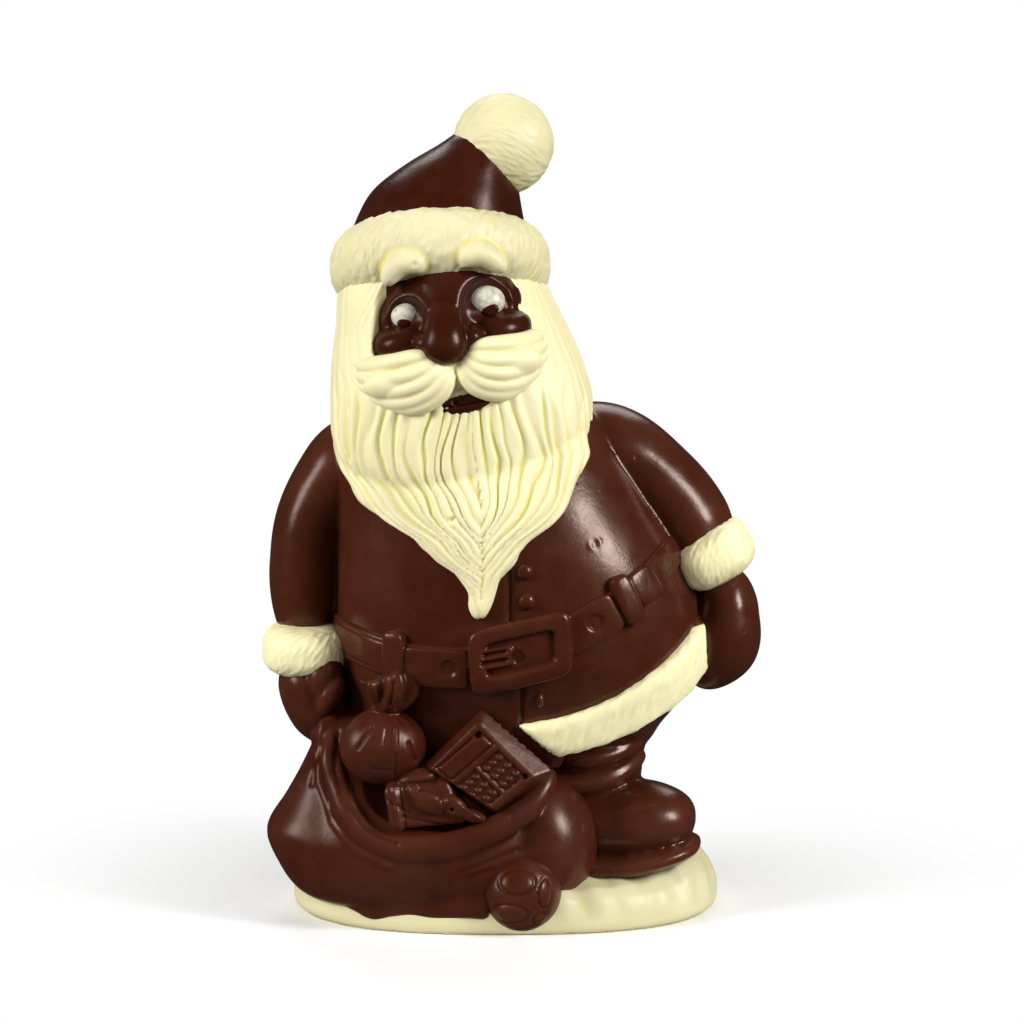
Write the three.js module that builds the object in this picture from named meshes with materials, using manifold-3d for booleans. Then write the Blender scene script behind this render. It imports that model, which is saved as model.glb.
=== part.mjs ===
// A moulded chocolate Santa Claus with a sack of presents, on a snow base: one solid piece, 160 mm tall.
// Millimetres, +Z up, the figure's front towards -Y, the origin under the middle of the base.
import * as THREE from "three";
import { mergeVertices } from "three/addons/utils/BufferGeometryUtils.js";
import Module from "manifold-3d";

const wasm = await Module();
wasm.setup();

// Driving dimensions
const FRONT = -Math.PI / 2; // the angle round a body that looks at the viewer
const REACH = 80; // half the length of a cutter that runs right through the figure
const HEAD_TILT = 10; // degrees that the head leans to the viewer's left
const CHOCOLATE = 0x3b1a12;

const BASE = { x: -1.3, halfX: 42.2, halfY: 27.8, power: 2.5 };
const BASE_PROFILE = [
  [0, 0],
  [0.94, 0],
  [0.985, 0.8],
  [1, 2.4],
  [0.995, 4.6],
  [0.965, 7],
  [0.9, 8.6],
  [0.7, 9.3],
  [0.35, 9.5],
  [0, 9.5],
];

// Rows of a standing body, from the top down: height, centre x, centre y, half width, half depth
const TORSO = [
  [107, -10, 0.6, 15, 13],
  [99, -8.5, 0.8, 24.5, 18.8],
  [91, -6.5, 1, 28.5, 23],
  [82, -3.5, 1, 31, 26.8],
  [72, -0.5, 1, 34, 29.2],
  [61, 1.5, 1, 36.2, 30],
  [51, 2.2, 1, 36.4, 29.4],
  [43, 2.4, 1.6, 35.8, 27],
  [35, 2.4, 2.2, 34.8, 25],
  [24, 2.4, 2.4, 33, 23.4],
];
const HAT = [
  [154, -4, 1.5, 6, 6],
  [150.6, -7.4, 1.4, 7.4, 7.6],
  [146, -10.6, 1.2, 10.8, 11.4],
  [141.4, -12.7, 1, 14, 14.6],
  [136.6, -13.8, 0.8, 15.9, 17],
  [131.6, -14.1, 0.6, 17.2, 18.8],
  [124, -14, 0.6, 17.8, 19.6],
  [108, -14, 1.4, 16, 17],
];
const BEARD = [
  [129, -14, 0.6, 18, 18.4],
  [122, -13.3, 0.6, 20.6, 21.6],
  [115, -11.8, -0.4, 22.6, 23.2],
  [108, -10.6, -1.4, 24.6, 24],
  [101, -9.7, -2.4, 25.9, 24.4],
  [94, -9.6, -4, 26.2, 24],
  [87, -9.6, -8, 23.6, 21.2],
  [80, -8.8, -13.4, 17.6, 16.2],
  [73, -7.4, -18.6, 10.4, 11.6],
  [66.5, -6, -22.8, 4.2, 8],
  [62.5, -5.6, -26, 1.6, 5],
];
const SACK = [
  [41, -30, -9, 7, 8],
  [36, -27.5, -9, 11.5, 10.5],
  [30, -21, -9.2, 19.6, 13.4],
  [24, -16.4, -9.6, 27.4, 17.2],
  [17.5, -15.6, -10, 32, 19.6],
  [11, -15.2, -10, 30.6, 19.4],
  [6, -14.6, -9.6, 27.6, 17.4],
  [2.6, -14, -9, 22, 14],
];

// Stops of a limb along its path: x, y, z, half width across the picture, half depth
const NEAR_ARM = [
  [-26, -1, 94, 9, 10.5],
  [-33.6, -2, 86, 8, 10.6],
  [-38.6, -3, 77, 7.6, 10.4],
  [-40.4, -3.6, 67, 7.2, 10],
  [-40.6, -4, 56, 7.2, 9.6],
];
const FAR_ARM = [
  [6, -2, 90, 9.6, 12.4],
  [18.4, -3, 90.4, 9, 12],
  [27.6, -4, 84.2, 8.8, 11.6],
  [34.5, -4, 76.2, 8.5, 10.8],
  [39.3, -4, 67, 7.5, 9.8],
];
const NEAR_HAND = [
  [-39.6, -5, 50, 6.6, 8.2],
  [-39.6, -6, 44, 6.6, 8.2],
  [-37.4, -7.6, 38, 6.2, 7.6],
  [-33.6, -9, 33, 4.6, 6],
];
const FAR_HAND = [
  [41.4, -3.6, 68, 5.6, 7.6],
  [42.2, -3.4, 60, 6.2, 8.2],
  [41.4, -3, 53, 7.2, 8.6],
  [36, -2.4, 44.8, 5.6, 6.6],
];
const LEGS = [
  [
    [19.4, 1, 52, 17.4, 25],
    [18, 1, 44, 15.6, 22.4],
    [17, 0.4, 38.4, 12.2, 17],
    [15.6, -0.4, 33.6, 10.4, 12.8],
    [15, -1.6, 27, 10.6, 11],
    [15, -2, 18, 9.6, 10],
  ],
  [
    [-12, 2.4, 46, 17, 20],
    [-13.6, 3.4, 36, 11.4, 13],
    [-14, 4, 27, 10.4, 11],
    [-14, 4, 17, 9.4, 10],
  ],
];
const BOOTS = [
  [
    [5, 0, 18.4, 7, 9],
    [15.4, -5, 18.6, 7.2, 10.4],
    [26, -10.4, 18.4, 6.9, 10.6],
    [36.4, -15.6, 18.2, 6.4, 9.4],
  ],
  [
    [-8, 10, 16, 6.6, 8.6],
    [-18, 5.4, 16, 7, 9.6],
    [-28, 1, 16, 6.6, 8.6],
  ],
];
const SOLES = [
  [
    [4, 0.4, 12.4, 2.3, 9.4],
    [15.4, -5.6, 12.4, 2.4, 11.6],
    [26.6, -11, 12.6, 2.3, 11.6],
    [37.9, -16.4, 12.9, 2.1, 9.6],
  ],
  [
    [-7, 10.4, 11, 2.2, 9],
    [-18, 5.4, 11, 2.3, 10.6],
    [-29.4, 0.6, 11, 2.2, 9],
  ],
];
// Fillings between limbs and body, where the mould has no way through: centre and half sizes
const WEBS = [
  [[-33, 1, 62], [7.4, 8, 28]],
  [[34, 1, 66], [8, 7.6, 19]],
  [[0, 1, 22], [17, 11, 20]],
];
const SACK_RIM = [
  [-36, -16, 39.5, 1.4, 2.4],
  [-34.6, -20, 32.6, 2, 2.4],
  [-30.4, -25.6, 25, 2.3, 2.6],
  [-22.4, -28.8, 19.4, 2.5, 2.6],
  [-12, -30, 17.9, 2.5, 2.4],
  [-2.4, -29, 20.4, 2.5, 2.6],
  [4.4, -27, 25.6, 2.3, 2.8],
  [8.4, -23, 32, 2, 3],
  [8, -17, 38.6, 1.4, 2.6],
];
// One side of the moustache in the head's own frame: across, depth, up, half height, half depth
const MOUSTACHE = [
  [0.4, -25.6, -9, 3, 3.4],
  [5.6, -26, -10.4, 5, 4.6],
  [11, -24.8, -9.8, 5.8, 5],
  [16.6, -20.6, -7.6, 4.8, 4.8],
  [20.4, -13.6, -4.4, 2, 3.6],
];
const BALL = { x: 2.4, y: -22.2, z: 9.8, radius: 8 };
const BALL_PATCHES = [
  [1.4, 13.9, 3.6, 1.8],
  [0.8, 5.6, 3.8, 1.8],
  [7, 10, 1.5, 3],
];
const STRANDS = 12; // ridges of hair round the beard

// The white hem's edges in the picture, x and height: level behind the sack, rising to the viewer's right
const HEM_UPPER = [
  [-46, 43],
  [-14, 41.4],
  [2.1, 41.3],
  [16.8, 45.3],
  [26.5, 50.7],
  [35, 57.7],
  [46, 69],
];
const HEM_LOWER = [
  [-46, 34],
  [-14, 33],
  [4, 34.6],
  [13, 36.1],
  [22.7, 39.2],
  [32.5, 44.5],
  [38, 50.7],
  [46, 61],
];
const HEM_RAISE = 2.4;

// The belt's line across the belly: points of x and height, with its half width
const BELT_LINE = [
  [-46, 53.2],
  [-24, 53.4],
  [-8, 53.8],
  [6, 57.6],
  [20, 63.4],
  [33, 70.4],
  [44, 77],
];
const BELT_HALF = 3.9;
const BELT_RAISE = 1.1;
const LOOP_RAISE = 2.1;
const BUCKLE = { x: 1.3, z: 56.6, width: 19.4, height: 12.2, frame: 2.6, corner: 2.8, turn: 16, raise: 2.2 };
const BELT_LOOPS = [
  { x: -22, z: 54, width: 3.6, height: 10, turn: 0 },
  { x: 22.4, z: 64, width: 3.8, height: 11, turn: 27 },
];
const BELT_HOLES = [
  [-12.2, 53],
  [16.2, 61.6],
];
const BUTTONS = [
  [2.7, 72],
  [3.1, 66],
  [5.3, 46.8],
];

const smooth = (f, a, b, c, d) =>
  b + 0.5 * f * (c - a + f * (2 * a - 5 * b + 4 * c - d + f * (3 * (b - c) + d - a)));

// The row at t, from 0 to 1, on a smooth line through all the rows
function between(rows, t) {
  const place = THREE.MathUtils.clamp(t, 0, 1) * (rows.length - 1);
  const i = Math.min(Math.floor(place), rows.length - 2);
  const row = (k) => rows[THREE.MathUtils.clamp(k, 0, rows.length - 1)];
  return rows[0].map((_, c) => smooth(place - i, row(i - 1)[c], row(i)[c], row(i + 1)[c], row(i + 2)[c]));
}

// 0 at both ends of a body and 1 between, round as a quarter circle over the share `round` of its length
const endRound = (t, round) => Math.sqrt(1 - Math.max(0, 1 - Math.min(t, 1 - t) / round) ** 2);

// The distance from the middle of a unit superellipse to its edge
const squareness = (angle, power) =>
  (Math.abs(Math.cos(angle)) ** power + Math.abs(Math.sin(angle)) ** power) ** (-1 / power);

function solid(geometry) {
  const bare = geometry.clone();
  bare.deleteAttribute("normal");
  bare.deleteAttribute("uv");
  const merged = mergeVertices(bare, 1e-3);
  return new wasm.Manifold(
    new wasm.Mesh({
      numProp: 3,
      vertProperties: merged.attributes.position.array,
      triVerts: new Uint32Array(merged.index.array),
    }),
  );
}

const join = (pieces) => pieces.reduce((whole, piece) => whole.add(piece));

// A sphere's net pulled over a shape: `at` gives the point for an angle round it and a share of the way down
function skin(sides, rings, at) {
  const net = new THREE.SphereGeometry(1, sides, rings).rotateX(Math.PI / 2);
  const points = net.attributes.position;
  for (let i = 0; i < points.count; i++) {
    const angle = Math.atan2(points.getY(i), points.getX(i));
    const down = Math.acos(THREE.MathUtils.clamp(points.getZ(i), -1, 1)) / Math.PI;
    points.setXYZ(i, ...at(angle, down));
  }
  return solid(net);
}

// A standing body through level sections
function standing(rows, { sides = 28, rings = 12, round = 0.14, power = 2.2, grow = 0, relief = () => 0 }) {
  return skin(sides, rings, (angle, down) => {
    const [z, x, y, halfX, halfY] = between(rows, down);
    const share = endRound(down, round) * squareness(angle, power);
    const out = grow + relief(angle, down);
    const halves = [Math.max(halfX + out, 0.2), Math.max(halfY + out, 0.2)];
    return [x + halves[0] * share * Math.cos(angle), y + halves[1] * share * Math.sin(angle), z];
  });
}

// A limb through sections square to its path, with round ends
function limb(stops, { sides = 12, rings = 8, round = 0.3, relief = () => 0 } = {}) {
  const point = (t) => new THREE.Vector3(...between(stops, t).slice(0, 3));
  const depth = new THREE.Vector3(0, 1, 0);
  return skin(sides, rings, (angle, down) => {
    const halves = between(stops, down).slice(3);
    const along = point(down + 0.01).sub(point(down - 0.01)).normalize();
    const across = along.clone().cross(depth).normalize();
    const deep = across.clone().cross(along);
    const share = endRound(down, round);
    const out = relief(angle, down);
    return point(down)
      .addScaledVector(across, (halves[0] + out) * share * Math.cos(angle))
      .addScaledVector(deep, (halves[1] + out) * share * Math.sin(angle))
      .toArray();
  });
}

// A ball or, with a power over 2, a barrel: half sizes, a lean in the picture and a tip towards the viewer
function ball(centre, halves, { sides = 12, rings = 8, power = 2, plan = 2, lean = 0, tip = 0 } = {}) {
  const turn = new THREE.Euler(THREE.MathUtils.degToRad(tip), THREE.MathUtils.degToRad(-lean), 0);
  const soft = (value) => Math.sign(value) * Math.abs(value) ** (2 / power);
  return skin(sides, rings, (angle, down) => {
    const share = soft(Math.sin(Math.PI * down)) * squareness(angle, plan);
    const point = new THREE.Vector3(
      halves[0] * share * Math.cos(angle),
      halves[1] * share * Math.sin(angle),
      halves[2] * soft(Math.cos(Math.PI * down)),
    );
    return point.applyEuler(turn).add(new THREE.Vector3(...centre)).toArray();
  });
}

// An outline in the picture, drawn in x and height, run right through the figure or from one depth to another
function through(shape, from = -REACH, to = REACH) {
  const slab = new THREE.ExtrudeGeometry(shape, { depth: to - from, bevelEnabled: false, curveSegments: 3 });
  return solid(slab.rotateX(Math.PI / 2).translate(0, to, 0));
}

function block(centre, size, { lean = 0, tip = 0, swing = 0 } = {}) {
  const geometry = new THREE.BoxGeometry(...size);
  const [x, y, z] = [tip, -lean, swing].map(THREE.MathUtils.degToRad);
  return solid(geometry.applyMatrix4(new THREE.Matrix4().makeRotationFromEuler(new THREE.Euler(x, y, z, "YXZ"))).translate(...centre));
}

function roundedOutline(path, width, height, corner) {
  const [x, z] = [width / 2, height / 2];
  path.moveTo(-x + corner, -z);
  path.lineTo(x - corner, -z).quadraticCurveTo(x, -z, x, -z + corner);
  path.lineTo(x, z - corner).quadraticCurveTo(x, z, x - corner, z);
  path.lineTo(-x + corner, z).quadraticCurveTo(-x, z, -x, z - corner);
  path.lineTo(-x, -z + corner).quadraticCurveTo(-x, -z, -x + corner, -z);
  return path;
}

// A rounded plate in the picture plane, leaning, as a cutter
function plate({ x, z, width, height, corner = 1, turn, hole = 0 }) {
  const shape = roundedOutline(new THREE.Shape(), width, height, corner);
  if (hole) shape.holes.push(roundedOutline(new THREE.Path(), width - 2 * hole, height - 2 * hole, corner * 0.7));
  const slab = new THREE.ExtrudeGeometry(shape, { depth: REACH, bevelEnabled: false, curveSegments: 2 });
  slab.rotateZ(THREE.MathUtils.degToRad(turn)).rotateX(Math.PI / 2);
  return solid(slab.translate(x, 0, z));
}

// How far forward the coat's skin is at a place in the picture
function coatFront(x, z) {
  let t = 0;
  while (t < 1 && between(TORSO, t)[0] > z) t += 0.005;
  const [, cx, cy, halfX, halfY] = between(TORSO, t);
  const side = Math.min(Math.abs((x - cx) / halfX), 0.98);
  return cy - halfY * (1 - side ** 2.2) ** (1 / 2.2);
}

const torso = (grow) => standing(TORSO, { sides: 30, rings: 12, grow });

function snowBase() {
  const profile = BASE_PROFILE.map(([r, z]) => new THREE.Vector2(r, z));
  const geometry = new THREE.LatheGeometry(profile, 32).rotateX(Math.PI / 2);
  const points = geometry.attributes.position;
  for (let i = 0; i < points.count; i++) {
    const [x, y, z] = [points.getX(i), points.getY(i), points.getZ(i)];
    const reach = squareness(Math.atan2(y, x), BASE.power);
    const drift = z > 6 ? 0.5 * Math.sin(7 * x + 1) + 0.4 * Math.cos(5 * y) : 0;
    points.setXYZ(i, BASE.x + BASE.halfX * reach * x, BASE.halfY * reach * y, z + drift);
  }
  return solid(geometry);
}

function sack() {
  const bag = join([
    standing(SACK, { sides: 26, rings: 11, round: 0.12 }),
    ball([5.4, -14, 15], [11.2, 13.4, 14]),
  ]);
  const mouth = ball([-13, -27, 32.6], [19, 11, 12.6], { sides: 16, rings: 8, lean: -4 });
  return join([bag.subtract(mouth), limb(SACK_RIM, { sides: 8, rings: 18, round: 0.06 })]);
}

function pouch() {
  const pleat = (angle) => 0.35 * Math.cos(9 * angle);
  return join([
    ball([-24.4, -22.6, 38], [8.6, 7.4, 8.2]),
    limb([[-24.4, -22.6, 50.6, 4.8, 4], [-24.2, -22.6, 48.6, 4.4, 3.6], [-24.2, -22.6, 46, 2.4, 2.4], [-24.4, -22.6, 43, 4, 4]], {
      sides: 12,
      rings: 6,
      round: 0.2,
      relief: pleat,
    }),
  ]);
}

function sweetsBox() {
  const turn = { lean: 41, tip: -24, swing: 0 };
  const box = [-4.4, -25, 34.8];
  const place = new THREE.Euler(...[turn.tip, -turn.lean, 0].map(THREE.MathUtils.degToRad), "YXZ");
  const on = (x, y, z) => new THREE.Vector3(x, y, z).applyEuler(place).add(new THREE.Vector3(...box)).toArray();
  const pieces = [block(box, [14.4, 8.4, 14], turn)];
  pieces.push(block(on(-0.2, -4.2, 4.4), [11.4, 1.2, 2.6], turn));
  for (const side of [-3, 3]) pieces.push(block(on(side, -4.2, -1.6), [4.4, 1, 5.4], turn));
  return join(pieces);
}

function parcel() {
  const turn = { lean: -17, tip: -20, swing: 0 };
  const centre = [-16, -24.4, 26];
  return join([
    block(centre, [16.5, 8, 8.4], turn),
    block([-20.4, -24.8, 27], [2.8, 8.6, 9.2], turn),
    ball([-12.4, -29, 28], [3.4, 1.8, 2.4], { sides: 8, rings: 6, lean: -20 }),
    ball([-17, -28.8, 29], [3, 1.8, 1.8], { sides: 8, rings: 6, lean: 30 }),
  ]);
}

function toyBall() {
  const whole = ball([BALL.x, BALL.y, BALL.z], [BALL.radius, BALL.radius, BALL.radius], { sides: 14, rings: 10 });
  const patches = BALL_PATCHES.map(([x, z, halfX, halfZ]) => {
    const front = BALL.y - Math.sqrt(BALL.radius ** 2 - (x - BALL.x) ** 2 - (z - BALL.z) ** 2);
    return ball([x, front + 0.5, z], [halfX, 1.2, halfZ], { sides: 8, rings: 6 });
  });
  return join([whole, ...patches]);
}

function boots() {
  const uppers = BOOTS.map((stops) => limb(stops, { sides: 12, rings: 8, round: 0.3 }));
  const soles = SOLES.map((stops) => limb(stops, { sides: 10, rings: 6, round: 0.28 }));
  return join([...uppers, ...soles, ...LEGS.map((stops) => limb(stops, { sides: 12, rings: 7, round: 0.1 }))]);
}

const curve = (points, steps) => new THREE.SplineCurve(points.map(([x, z]) => new THREE.Vector2(x, z))).getPoints(steps);

// A slab between two lines in the picture, each a list of x and height
const ribbon = (upper, lower, steps) =>
  through(new THREE.Shape([...curve(upper, steps), ...curve(lower, steps).reverse()]));

const raised = (line, height) => line.map(([x, z]) => [x, z + height]);

function coatTrim() {
  return ribbon(HEM_UPPER, HEM_LOWER, 12).intersect(torso(HEM_RAISE));
}

function beltParts() {
  const strap = ribbon(raised(BELT_LINE, BELT_HALF), raised(BELT_LINE, -BELT_HALF), 12).intersect(torso(BELT_RAISE));
  const holes = BELT_HOLES.map(([x, z]) => ball([x, coatFront(x, z) - BELT_RAISE, z], [1.3, 1.3, 1.3], { sides: 6, rings: 4 }));
  const loops = BELT_LOOPS.map((loop) => plate({ ...loop, corner: 1.2 }).intersect(torso(LOOP_RAISE)));
  const frame = plate({ ...BUCKLE, hole: BUCKLE.frame }).intersect(torso(BUCKLE.raise));
  const tongue = plate({ x: -2.6, z: 55.4, width: 8.4, height: 1.6, corner: 0.6, turn: BUCKLE.turn });
  return join([strap.subtract(join(holes)), ...loops, frame, tongue.intersect(torso(BUCKLE.raise))]);
}

function coat() {
  const buttons = BUTTONS.map(([x, z]) => ball([x, coatFront(x, z) + 0.3, z], [1.7, 1.7, 1.7], { sides: 8, rings: 5 }));
  const arms = [NEAR_ARM, FAR_ARM].map((stops) => limb(stops, { sides: 13, rings: 8, round: 0.25 }));
  const hands = [NEAR_HAND, FAR_HAND].map((stops) => limb(stops, { sides: 10, rings: 7, round: 0.35 }));
  const thumb = ball([35.8, -5.6, 55], [3, 4, 5.4], { lean: 20 });
  const cuffs = [
    ball([-40.4, -4.4, 52], [8.6, 11, 5.1], { sides: 14, rings: 8, power: 2.8, plan: 2.6, lean: -2 }),
    ball([39.3, -3.4, 70.6], [8.2, 11.2, 5.5], { sides: 14, rings: 8, power: 2.8, plan: 2.6, lean: 30 }),
  ];
  const aboveHem = ribbon([[-REACH, 2 * REACH], [REACH, 2 * REACH]], raised(HEM_LOWER, 2), 12);
  const webs = WEBS.map(([centre, halves]) => ball(centre, halves));
  return join([torso(0).intersect(aboveHem), beltParts(), ...webs, ...buttons, ...arms, ...hands, thumb, ...cuffs]);
}

// Round ridges with narrow grooves between them
const ridge = (turns) => Math.abs(Math.sin(Math.PI * turns)) ** 0.6;

function beard() {
  const relief = (angle, down) => {
    const wander = 0.05 * Math.sin(9 * down + 2 * angle);
    return 1.3 * (ridge(STRANDS * ((angle - FRONT) / (2 * Math.PI) + wander)) - 0.6) * Math.min(1, 3 * down);
  };
  return standing(BEARD, { sides: 48, rings: 12, round: 0.08, power: 2.1, relief });
}

// A place in the head's own frame: across the face, depth, and up it from the bridge of the nose
function onHead(x, y, z) {
  const lean = THREE.MathUtils.degToRad(HEAD_TILT);
  return [-12.2 + x * Math.cos(lean) - z * Math.sin(lean), y, 119 + x * Math.sin(lean) + z * Math.cos(lean)];
}

function face() {
  const small = { sides: 8, rings: 6, lean: HEAD_TILT };
  const skull = ball(onHead(0, -6, 0), [18, 17.6, 14], { sides: 16, rings: 8, lean: HEAD_TILT });
  const parts = [ball(onHead(0, -25.6, -3), [4.6, 5, 4.8], { sides: 12, rings: 8 })];
  const bridge = [[...onHead(0, -22, 5), 2.4, 3], [...onHead(0, -24.2, 1), 2.8, 3.6], [...onHead(0, -25.6, -3), 3.4, 3.6]];
  parts.push(limb(bridge, { sides: 8, rings: 5 }));
  for (const side of [-1, 1]) {
    parts.push(ball(onHead(side * 4, -23.8, -3.2), [2.2, 3, 2.2], small));
    parts.push(ball(onHead(side * 9.4, -20.4, -3.4), [5.4, 4, 3.2], small));
    parts.push(ball(onHead(side * 7.9, -19.8, 2), [3.6, 3, 3.8], small));
  }
  return join([skull, ...parts]);
}

function head() {
  const window = plate({ x: -11.5, z: 118.6, width: 32, height: 20.4, corner: 5, turn: HEAD_TILT }).intersect(
    block([-12, -35, 118], [60, 36, 60]),
  );
  const strands = (angle) => 0.7 * ridge(2.5 * (angle / Math.PI));
  const brows = [-1, 1].map((side) => ball(onHead(side * 7.4, -19.6, 11.2), [4.8, 5.4, 3.8], { lean: HEAD_TILT }));
  const moustache = [-1, 1].map((side) => MOUSTACHE.map(([x, y, z, ...halves]) => [...onHead(side * x, y, z), ...halves]));
  return join([
    beard().subtract(window),
    face(),
    ball([-9.2, -26, 103.4], [4.6, 2.4, 1.5], { lean: HEAD_TILT }),
    ...moustache.map((stops) => limb(stops, { sides: 14, rings: 7, round: 0.25, relief: strands })),
    ...brows,
  ]);
}

function hat() {
  const band = ball([-13.9, 0.4, 126.4], [21.3, 23.6, 9.4], { sides: 26, rings: 8, power: 2.6, plan: 2.1, lean: 2, tip: -21 });
  return join([
    standing(HAT, { sides: 18, rings: 8, round: 0.16 }),
    band,
    ball([-1.7, 1.6, 150.2], [9.9, 9.8, 9.8], { sides: 14, rings: 9 }),
  ]);
}

function figure() {
  const whole = join([snowBase(), sack(), pouch(), sweetsBox(), parcel(), toyBall(), boots(), coatTrim(), coat(), head(), hat()]);
  const above = block([0, 0, REACH * 2], [4 * REACH, 4 * REACH, 4 * REACH]).intersect(whole);
  return above;
}

// A joined solid as a geometry that three.js can draw
function geometryOf(made) {
  const mesh = made.getMesh();
  const points = new Float32Array(mesh.numVert * 3);
  for (let i = 0; i < mesh.numVert; i++) points.set(mesh.vertProperties.subarray(i * mesh.numProp, i * mesh.numProp + 3), 3 * i);
  const geometry = new THREE.BufferGeometry();
  geometry.setAttribute("position", new THREE.BufferAttribute(points, 3));
  geometry.setIndex(new THREE.BufferAttribute(mesh.triVerts, 1));
  geometry.computeVertexNormals();
  return geometry;
}

const santa = new THREE.Mesh(
  geometryOf(figure()),
  new THREE.MeshStandardMaterial({ color: CHOCOLATE, roughness: 0.4, metalness: 0 }),
);
santa.name = "chocolate_santa";

const group = new THREE.Group();
group.add(santa);
export default group;
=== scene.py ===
# %% [markdown]
# # A chocolate Santa Claus, cast in dark and white chocolate
# The real figure comes out of a mould in one piece. The maker paints white chocolate into the fur, hair and
# snow of the mould, fills the rest with dark chocolate, and lets it set. So every edge is a little round, the
# relief is soft, and the two colours meet in one sharp line.
#
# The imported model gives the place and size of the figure. It is one plain solid, and here it is replaced by
# finished pieces: one for each zone of colour or form. Each is built large first, then cast by a voxel
# remesh that melts its parts together, and carved last.

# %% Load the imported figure
import math
import random

import bpy
import numpy as np
from mathutils import Euler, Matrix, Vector
from mathutils.kdtree import KDTree


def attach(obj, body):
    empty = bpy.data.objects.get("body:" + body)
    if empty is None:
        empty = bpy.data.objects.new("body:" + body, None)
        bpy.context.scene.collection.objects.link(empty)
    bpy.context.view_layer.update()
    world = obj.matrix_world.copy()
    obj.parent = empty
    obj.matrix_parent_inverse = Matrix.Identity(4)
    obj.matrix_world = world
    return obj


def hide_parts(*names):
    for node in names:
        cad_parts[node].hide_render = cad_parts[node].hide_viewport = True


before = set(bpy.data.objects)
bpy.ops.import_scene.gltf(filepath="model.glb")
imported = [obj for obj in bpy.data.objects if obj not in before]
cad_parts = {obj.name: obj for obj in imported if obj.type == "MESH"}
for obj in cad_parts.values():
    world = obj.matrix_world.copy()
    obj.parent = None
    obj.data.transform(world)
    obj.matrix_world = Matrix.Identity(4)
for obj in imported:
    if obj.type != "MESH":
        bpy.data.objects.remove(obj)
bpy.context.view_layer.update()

MM = 0.001

# %% [markdown]
# ## Reading and moving vertices
# Blender works in metres, and chocolate is easier to think of in millimetres. These helpers read a mesh's
# vertices as an array in millimetres, move them all at once, and write them back. Angles round a body are
# counted so that minus a quarter turn faces the viewer.

# %% Vertices as arrays
def vertex_values(piece, what):
    values = np.empty(len(piece.data.vertices) * 3, np.float32)
    piece.data.vertices.foreach_get(what, values)
    return values.reshape(-1, 3).astype(float)


def read(piece):
    return vertex_values(piece, "co") / MM


def normals_of(piece):
    return vertex_values(piece, "normal")


def write(piece, points):
    piece.data.vertices.foreach_set("co", (np.asarray(points) * MM).astype(np.float32).ravel())
    piece.data.update()
    return piece


def only(pieces):
    """Selects these pieces and nothing else, with the first one active."""
    bpy.ops.object.select_all(action="DESELECT")
    for piece in pieces:
        piece.select_set(True)
    bpy.context.view_layer.objects.active = pieces[0]


# %% [markdown]
# ## Bodies from one net
# A head, a sleeve and a sack are all round bodies. Each starts as Blender's own UV sphere, and its net is
# then pulled over the real form: a standing body has level sections, a limb has sections square to its path,
# and a ball is squared off as far as its power says. A ring starts as a torus in the same way.

# %% Sections between rows
def between(rows, share):
    """The row at a share of the way down a list of rows, on a smooth line through them."""
    rows = np.asarray(rows, float)
    place = np.clip(share, 0, 1) * (len(rows) - 1)
    index = np.minimum(place.astype(int), len(rows) - 2)
    f = (place - index)[:, None]
    a, b, c, d = (rows[np.clip(index + step, 0, len(rows) - 1)] for step in (-1, 0, 1, 2))
    return b + 0.5 * f * (c - a + f * (2 * a - 5 * b + 4 * c - d + f * (3 * (b - c) + d - a)))


def end_round(share, ends):
    return np.sqrt(np.clip(1 - np.clip(1 - np.minimum(share, 1 - share) / ends, 0, 1) ** 2, 0, 1))


def squareness(angle, power):
    return (np.abs(np.cos(angle)) ** power + np.abs(np.sin(angle)) ** power) ** (-1 / power)


def smoothstep(low, high, value):
    f = np.clip((value - low) / (high - low), 0, 1)
    return f * f * (3 - 2 * f)


def bell(value, width):
    """1 where the value is 0, and close to nothing at twice the width."""
    return np.exp(-((value / width) ** 2))


def spot(x, z, centre, radius):
    """1 in a round spot in the picture, with a soft edge."""
    return np.exp(-((np.hypot(x - centre[0], z - centre[1]) / radius) ** 4))


def signed_power(value, power):
    return np.sign(value) * np.abs(value) ** power


# %% Nets over a sphere or a torus
def primitive(name, add, **sizes):
    """One of Blender's own meshes, at the origin."""
    bpy.ops.object.select_all(action="DESELECT")
    add(location=(0, 0, 0), **sizes)
    piece = bpy.context.object
    piece.name = name
    return piece


def net(name, sides, rings, at):
    """A sphere whose vertices at() places, from their angle round it and share of the way down it."""
    piece = primitive(name, bpy.ops.mesh.primitive_uv_sphere_add, segments=sides, ring_count=rings, radius=1)
    points = read(piece) * MM
    angle = np.arctan2(points[:, 1], points[:, 0])
    down = np.arccos(np.clip(points[:, 2], -1, 1)) / np.pi
    return write(piece, at(angle, down))


def ring(name, around, section, at):
    """The same for a torus, from the angle round it and the turn round its tube."""
    sides = {"major_segments": around, "minor_segments": section}
    piece = primitive(name, bpy.ops.mesh.primitive_torus_add, major_radius=2, minor_radius=1, **sides)
    points = read(piece) * MM
    angle = np.arctan2(points[:, 1], points[:, 0])
    turn = np.arctan2(points[:, 2], np.hypot(points[:, 0], points[:, 1]) - 2)
    return write(piece, at(angle, turn))


BODY_ENDS, BODY_POWER = 0.14, 2.2


def standing(name, rows, sides, rings, ends=BODY_ENDS, power=BODY_POWER, relief=None):
    def at(angle, down):
        z, x, y, half_x, half_y = between(rows, down).T
        out = relief(angle, down) if relief else 0
        share = end_round(down, ends) * squareness(angle, power)
        half_x, half_y = (np.maximum(half + out, 0.2) for half in (half_x, half_y))
        return np.stack([x + half_x * share * np.cos(angle), y + half_y * share * np.sin(angle), z], 1)

    return net(name, sides, rings, at)


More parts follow.
